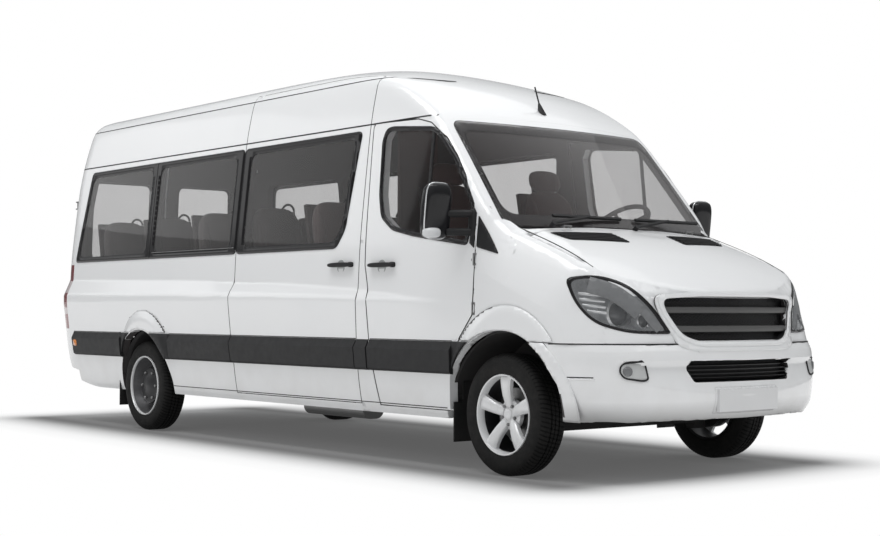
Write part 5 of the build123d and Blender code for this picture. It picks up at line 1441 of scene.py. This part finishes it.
ARCHES = {                       # field, liner from y to y, where the strip's wraps end
    "front": (cab_field, (0.560, 0.930), (2.046,)),
    "rear": (body_field, (0.560, 0.950), (-2.214, -1.386)),
}
ARCH_EDGE = ("front", 0.537, 0.605, 0.337, 0.762, 1.0, 0.055)
WRAP_BASE = 0.565
WRAP_TOP = 0.757
for side_name, side in SIDES:
    sheet(f"arch_edge_{side_name}", ring_part(*ARCH_EDGE), [], facing(front_field, 1, side * 0.99, 0.0025),
          PAINT, "chassis", 0.010, 0.03)
    for arch, (field, width, starts) in ARCHES.items():
        lip_x, lip_z, lip_radius = FLARES[arch][:3]
        sheet(f"flare_{arch}_{side_name}", flare_outline(*FLARES[arch]), [],
              facing(field, 1, side * 0.99, 0.006), PAINT, "chassis", 0.006, 0.02)
        for number, start in enumerate(starts):
            heights = np.linspace(WRAP_BASE, WRAP_TOP, 14)
            reach = (lip_radius + 0.003) * np.cos(np.arcsin((heights - lip_z) / (lip_radius + 0.003)))
            edge = np.stack([lip_x + (reach if start > lip_x else -reach), heights], 1)
            line = np.vstack([edge, ((start, WRAP_TOP), (start, WRAP_BASE))])
            sheet(f"wrap_{arch}_{number}_{side_name}", line, [], facing(field, 1, side * 0.99, 0.014),
                  STRIP, "chassis", 0.014, 0.03)
        turn = np.linspace(math.radians(9.0), math.radians(171.0), 50)
        ring = side_arc(lip_x, lip_z, lip_radius - ARCH_INSET, turn)
        points = np.stack([np.insert(ring, 1, side * y, axis=1) for y in width], 1).reshape(-1, 3)
        built(f"liner_{arch}_{side_name}", [(points, flipped(grid_faces(len(ring), 2)))], UNDER, "chassis",
              (), 35.0, 0.004, np.array((0.0, 0.0, -1.0)))

# ---------------------------------------------------------------- rear lamps and side markers

for side_name, side in SIDES:
    marker = rounded(((-3.045, 0.640), (-2.985, 0.640), (-2.985, 0.690), (-3.045, 0.690)), 0.012)
    sheet(f"marker_{side_name}", marker, [], on_side(side, 0.029), AMBER, "chassis", 0.006)
skin("tail_lamp_lenses", "tail_lamps", body_field, body_plain, (0.04, 0.04, 0.04), TAIL, outer_only=True)

# ---------------------------------------------------------------- seats, steering wheel and cab trim

FLOOR_TOP = 0.680
ROW_PLACES = [(x, y, 0.0) for x in (0.420, -0.370, -1.160, -1.950, -2.780) for y in (-0.640, 0.205, 0.640)]
SEAT_PLACES = [(1.420, 0.420, 0.070), (1.420, -0.420, 0.070), (-2.780, -0.2175, 0.0)] + ROW_PLACES


def seat_parts(shape, wings):
    """The same rounded pad for every seat; wings are side rolls of the same pad."""
    (dx, dz), half, power, lean = shape
    parts = []
    for x, y, lift in SEAT_PLACES:
        base = (x + dx, y, FLOOR_TOP + lift + dz)
        parts.append(bulged(base, half, power, 36, 22, lean))
        for offset, wing in wings:
            parts.append(bulged(np.array(base) + np.array(offset), wing, 2.6, 20, 18, lean))
    return parts


cushions = seat_parts(((0.205, 0.386), (0.232, 0.206, 0.054), 3.6, 0.0),
                      [((0.0, s * 0.165, 0.018), (0.215, 0.040, 0.045)) for s in (-1, 1)])
backs = seat_parts(((-0.048, 0.722), (0.048, 0.198, 0.282), 3.8, -0.205),
                   [((0.026, s * 0.158, -0.02), (0.034, 0.036, 0.235)) for s in (-1, 1)])
heads = [bulged((x - 0.122, y, FLOOR_TOP + 0.070 + 1.073), (0.046, 0.128, 0.074), 3.0, 36, 22, -0.2)
         for x, y, lift in SEAT_PLACES if lift]
for name, parts in (("seat_cushions", cushions), ("seat_backs", backs), ("head_rests", heads)):
    padding = built(name, parts, CLOTH, "chassis", ["seat_pads"], 60.0)
loops = []
for x, y, lift in SEAT_PLACES[2:]:
    inward = -1.0 if y > 0.3 else 1.0
    top = np.array((x - 0.110, y + inward * 0.120, FLOOR_TOP + 0.985))
    arc = np.stack([np.linspace(-0.01, 0.01, 9), 0.045 * np.cos(np.linspace(np.pi, 0, 9)),
                    0.050 * np.sin(np.linspace(np.pi, 0, 9))], 1)
    loops.append(rod(arc + top, 0.009, False, 8, (1.0, 0.0, 0.0)))
built("grab_loops", loops, TRIM, "chassis")

WHEEL_BOSS = ((0.0, 0.004), (0.050, 0.0), (0.068, -0.016), (0.060, -0.036), (0.0, -0.040))
turn = np.linspace(0.0, 2 * np.pi, 64, endpoint=False)
tilt = math.radians(35.0)
first, second = np.array((math.cos(tilt), 0.0, math.sin(tilt))), np.array((0.0, 1.0, 0.0))
wheel_axis = np.array((-math.sin(tilt), 0.0, math.cos(tilt)))
wheel_centre = np.array((2.040, 0.420, 1.495))
ring = wheel_centre + 0.195 * (np.cos(turn)[:, None] * first + np.sin(turn)[:, None] * second)
wheel_parts = [rod(ring, 0.015, True, 14, tuple(wheel_axis)), turned(WHEEL_BOSS, wheel_centre, wheel_axis)]
for angle in (0.5, math.pi - 0.5, math.pi + 0.65, -0.65):
    reach = math.sin(angle) * first * -1.0 + math.cos(angle) * second
    path = np.stack([wheel_centre - wheel_axis * 0.020 + reach * 0.04,
                     wheel_centre - wheel_axis * 0.008 + reach * 0.12, wheel_centre + reach * 0.188])
    wheel_parts.append(rod(path, 0.012, False, 10, tuple(wheel_axis)))
built("steering_ring", wheel_parts, TRIM, "steering_wheel", ["steering_wheel"], 40.0)
panel_x, panel_y = 1.015, -0.455
panel = np.array(((-0.155, -0.015), (-0.155, 0.015), (0.155, 0.015), (0.155, -0.015)))
path = ((panel_x, panel_y, FLOOR_TOP + 0.01), (panel_x, panel_y, 2.28))
built("cab_screen", [swept(path, panel, (1.0, 0.0, 0.0))], CLOTH, "chassis", (), 30.0)
cowl = [bulged((2.190, 0.420, 1.395), (0.150, 0.230, 0.075), 2.6),
        bulged((2.330, 0.0, 1.330), (0.200, 0.780, 0.055), 4.0)]
built("dash_top", cowl, CABIN, "chassis", (), 50.0)
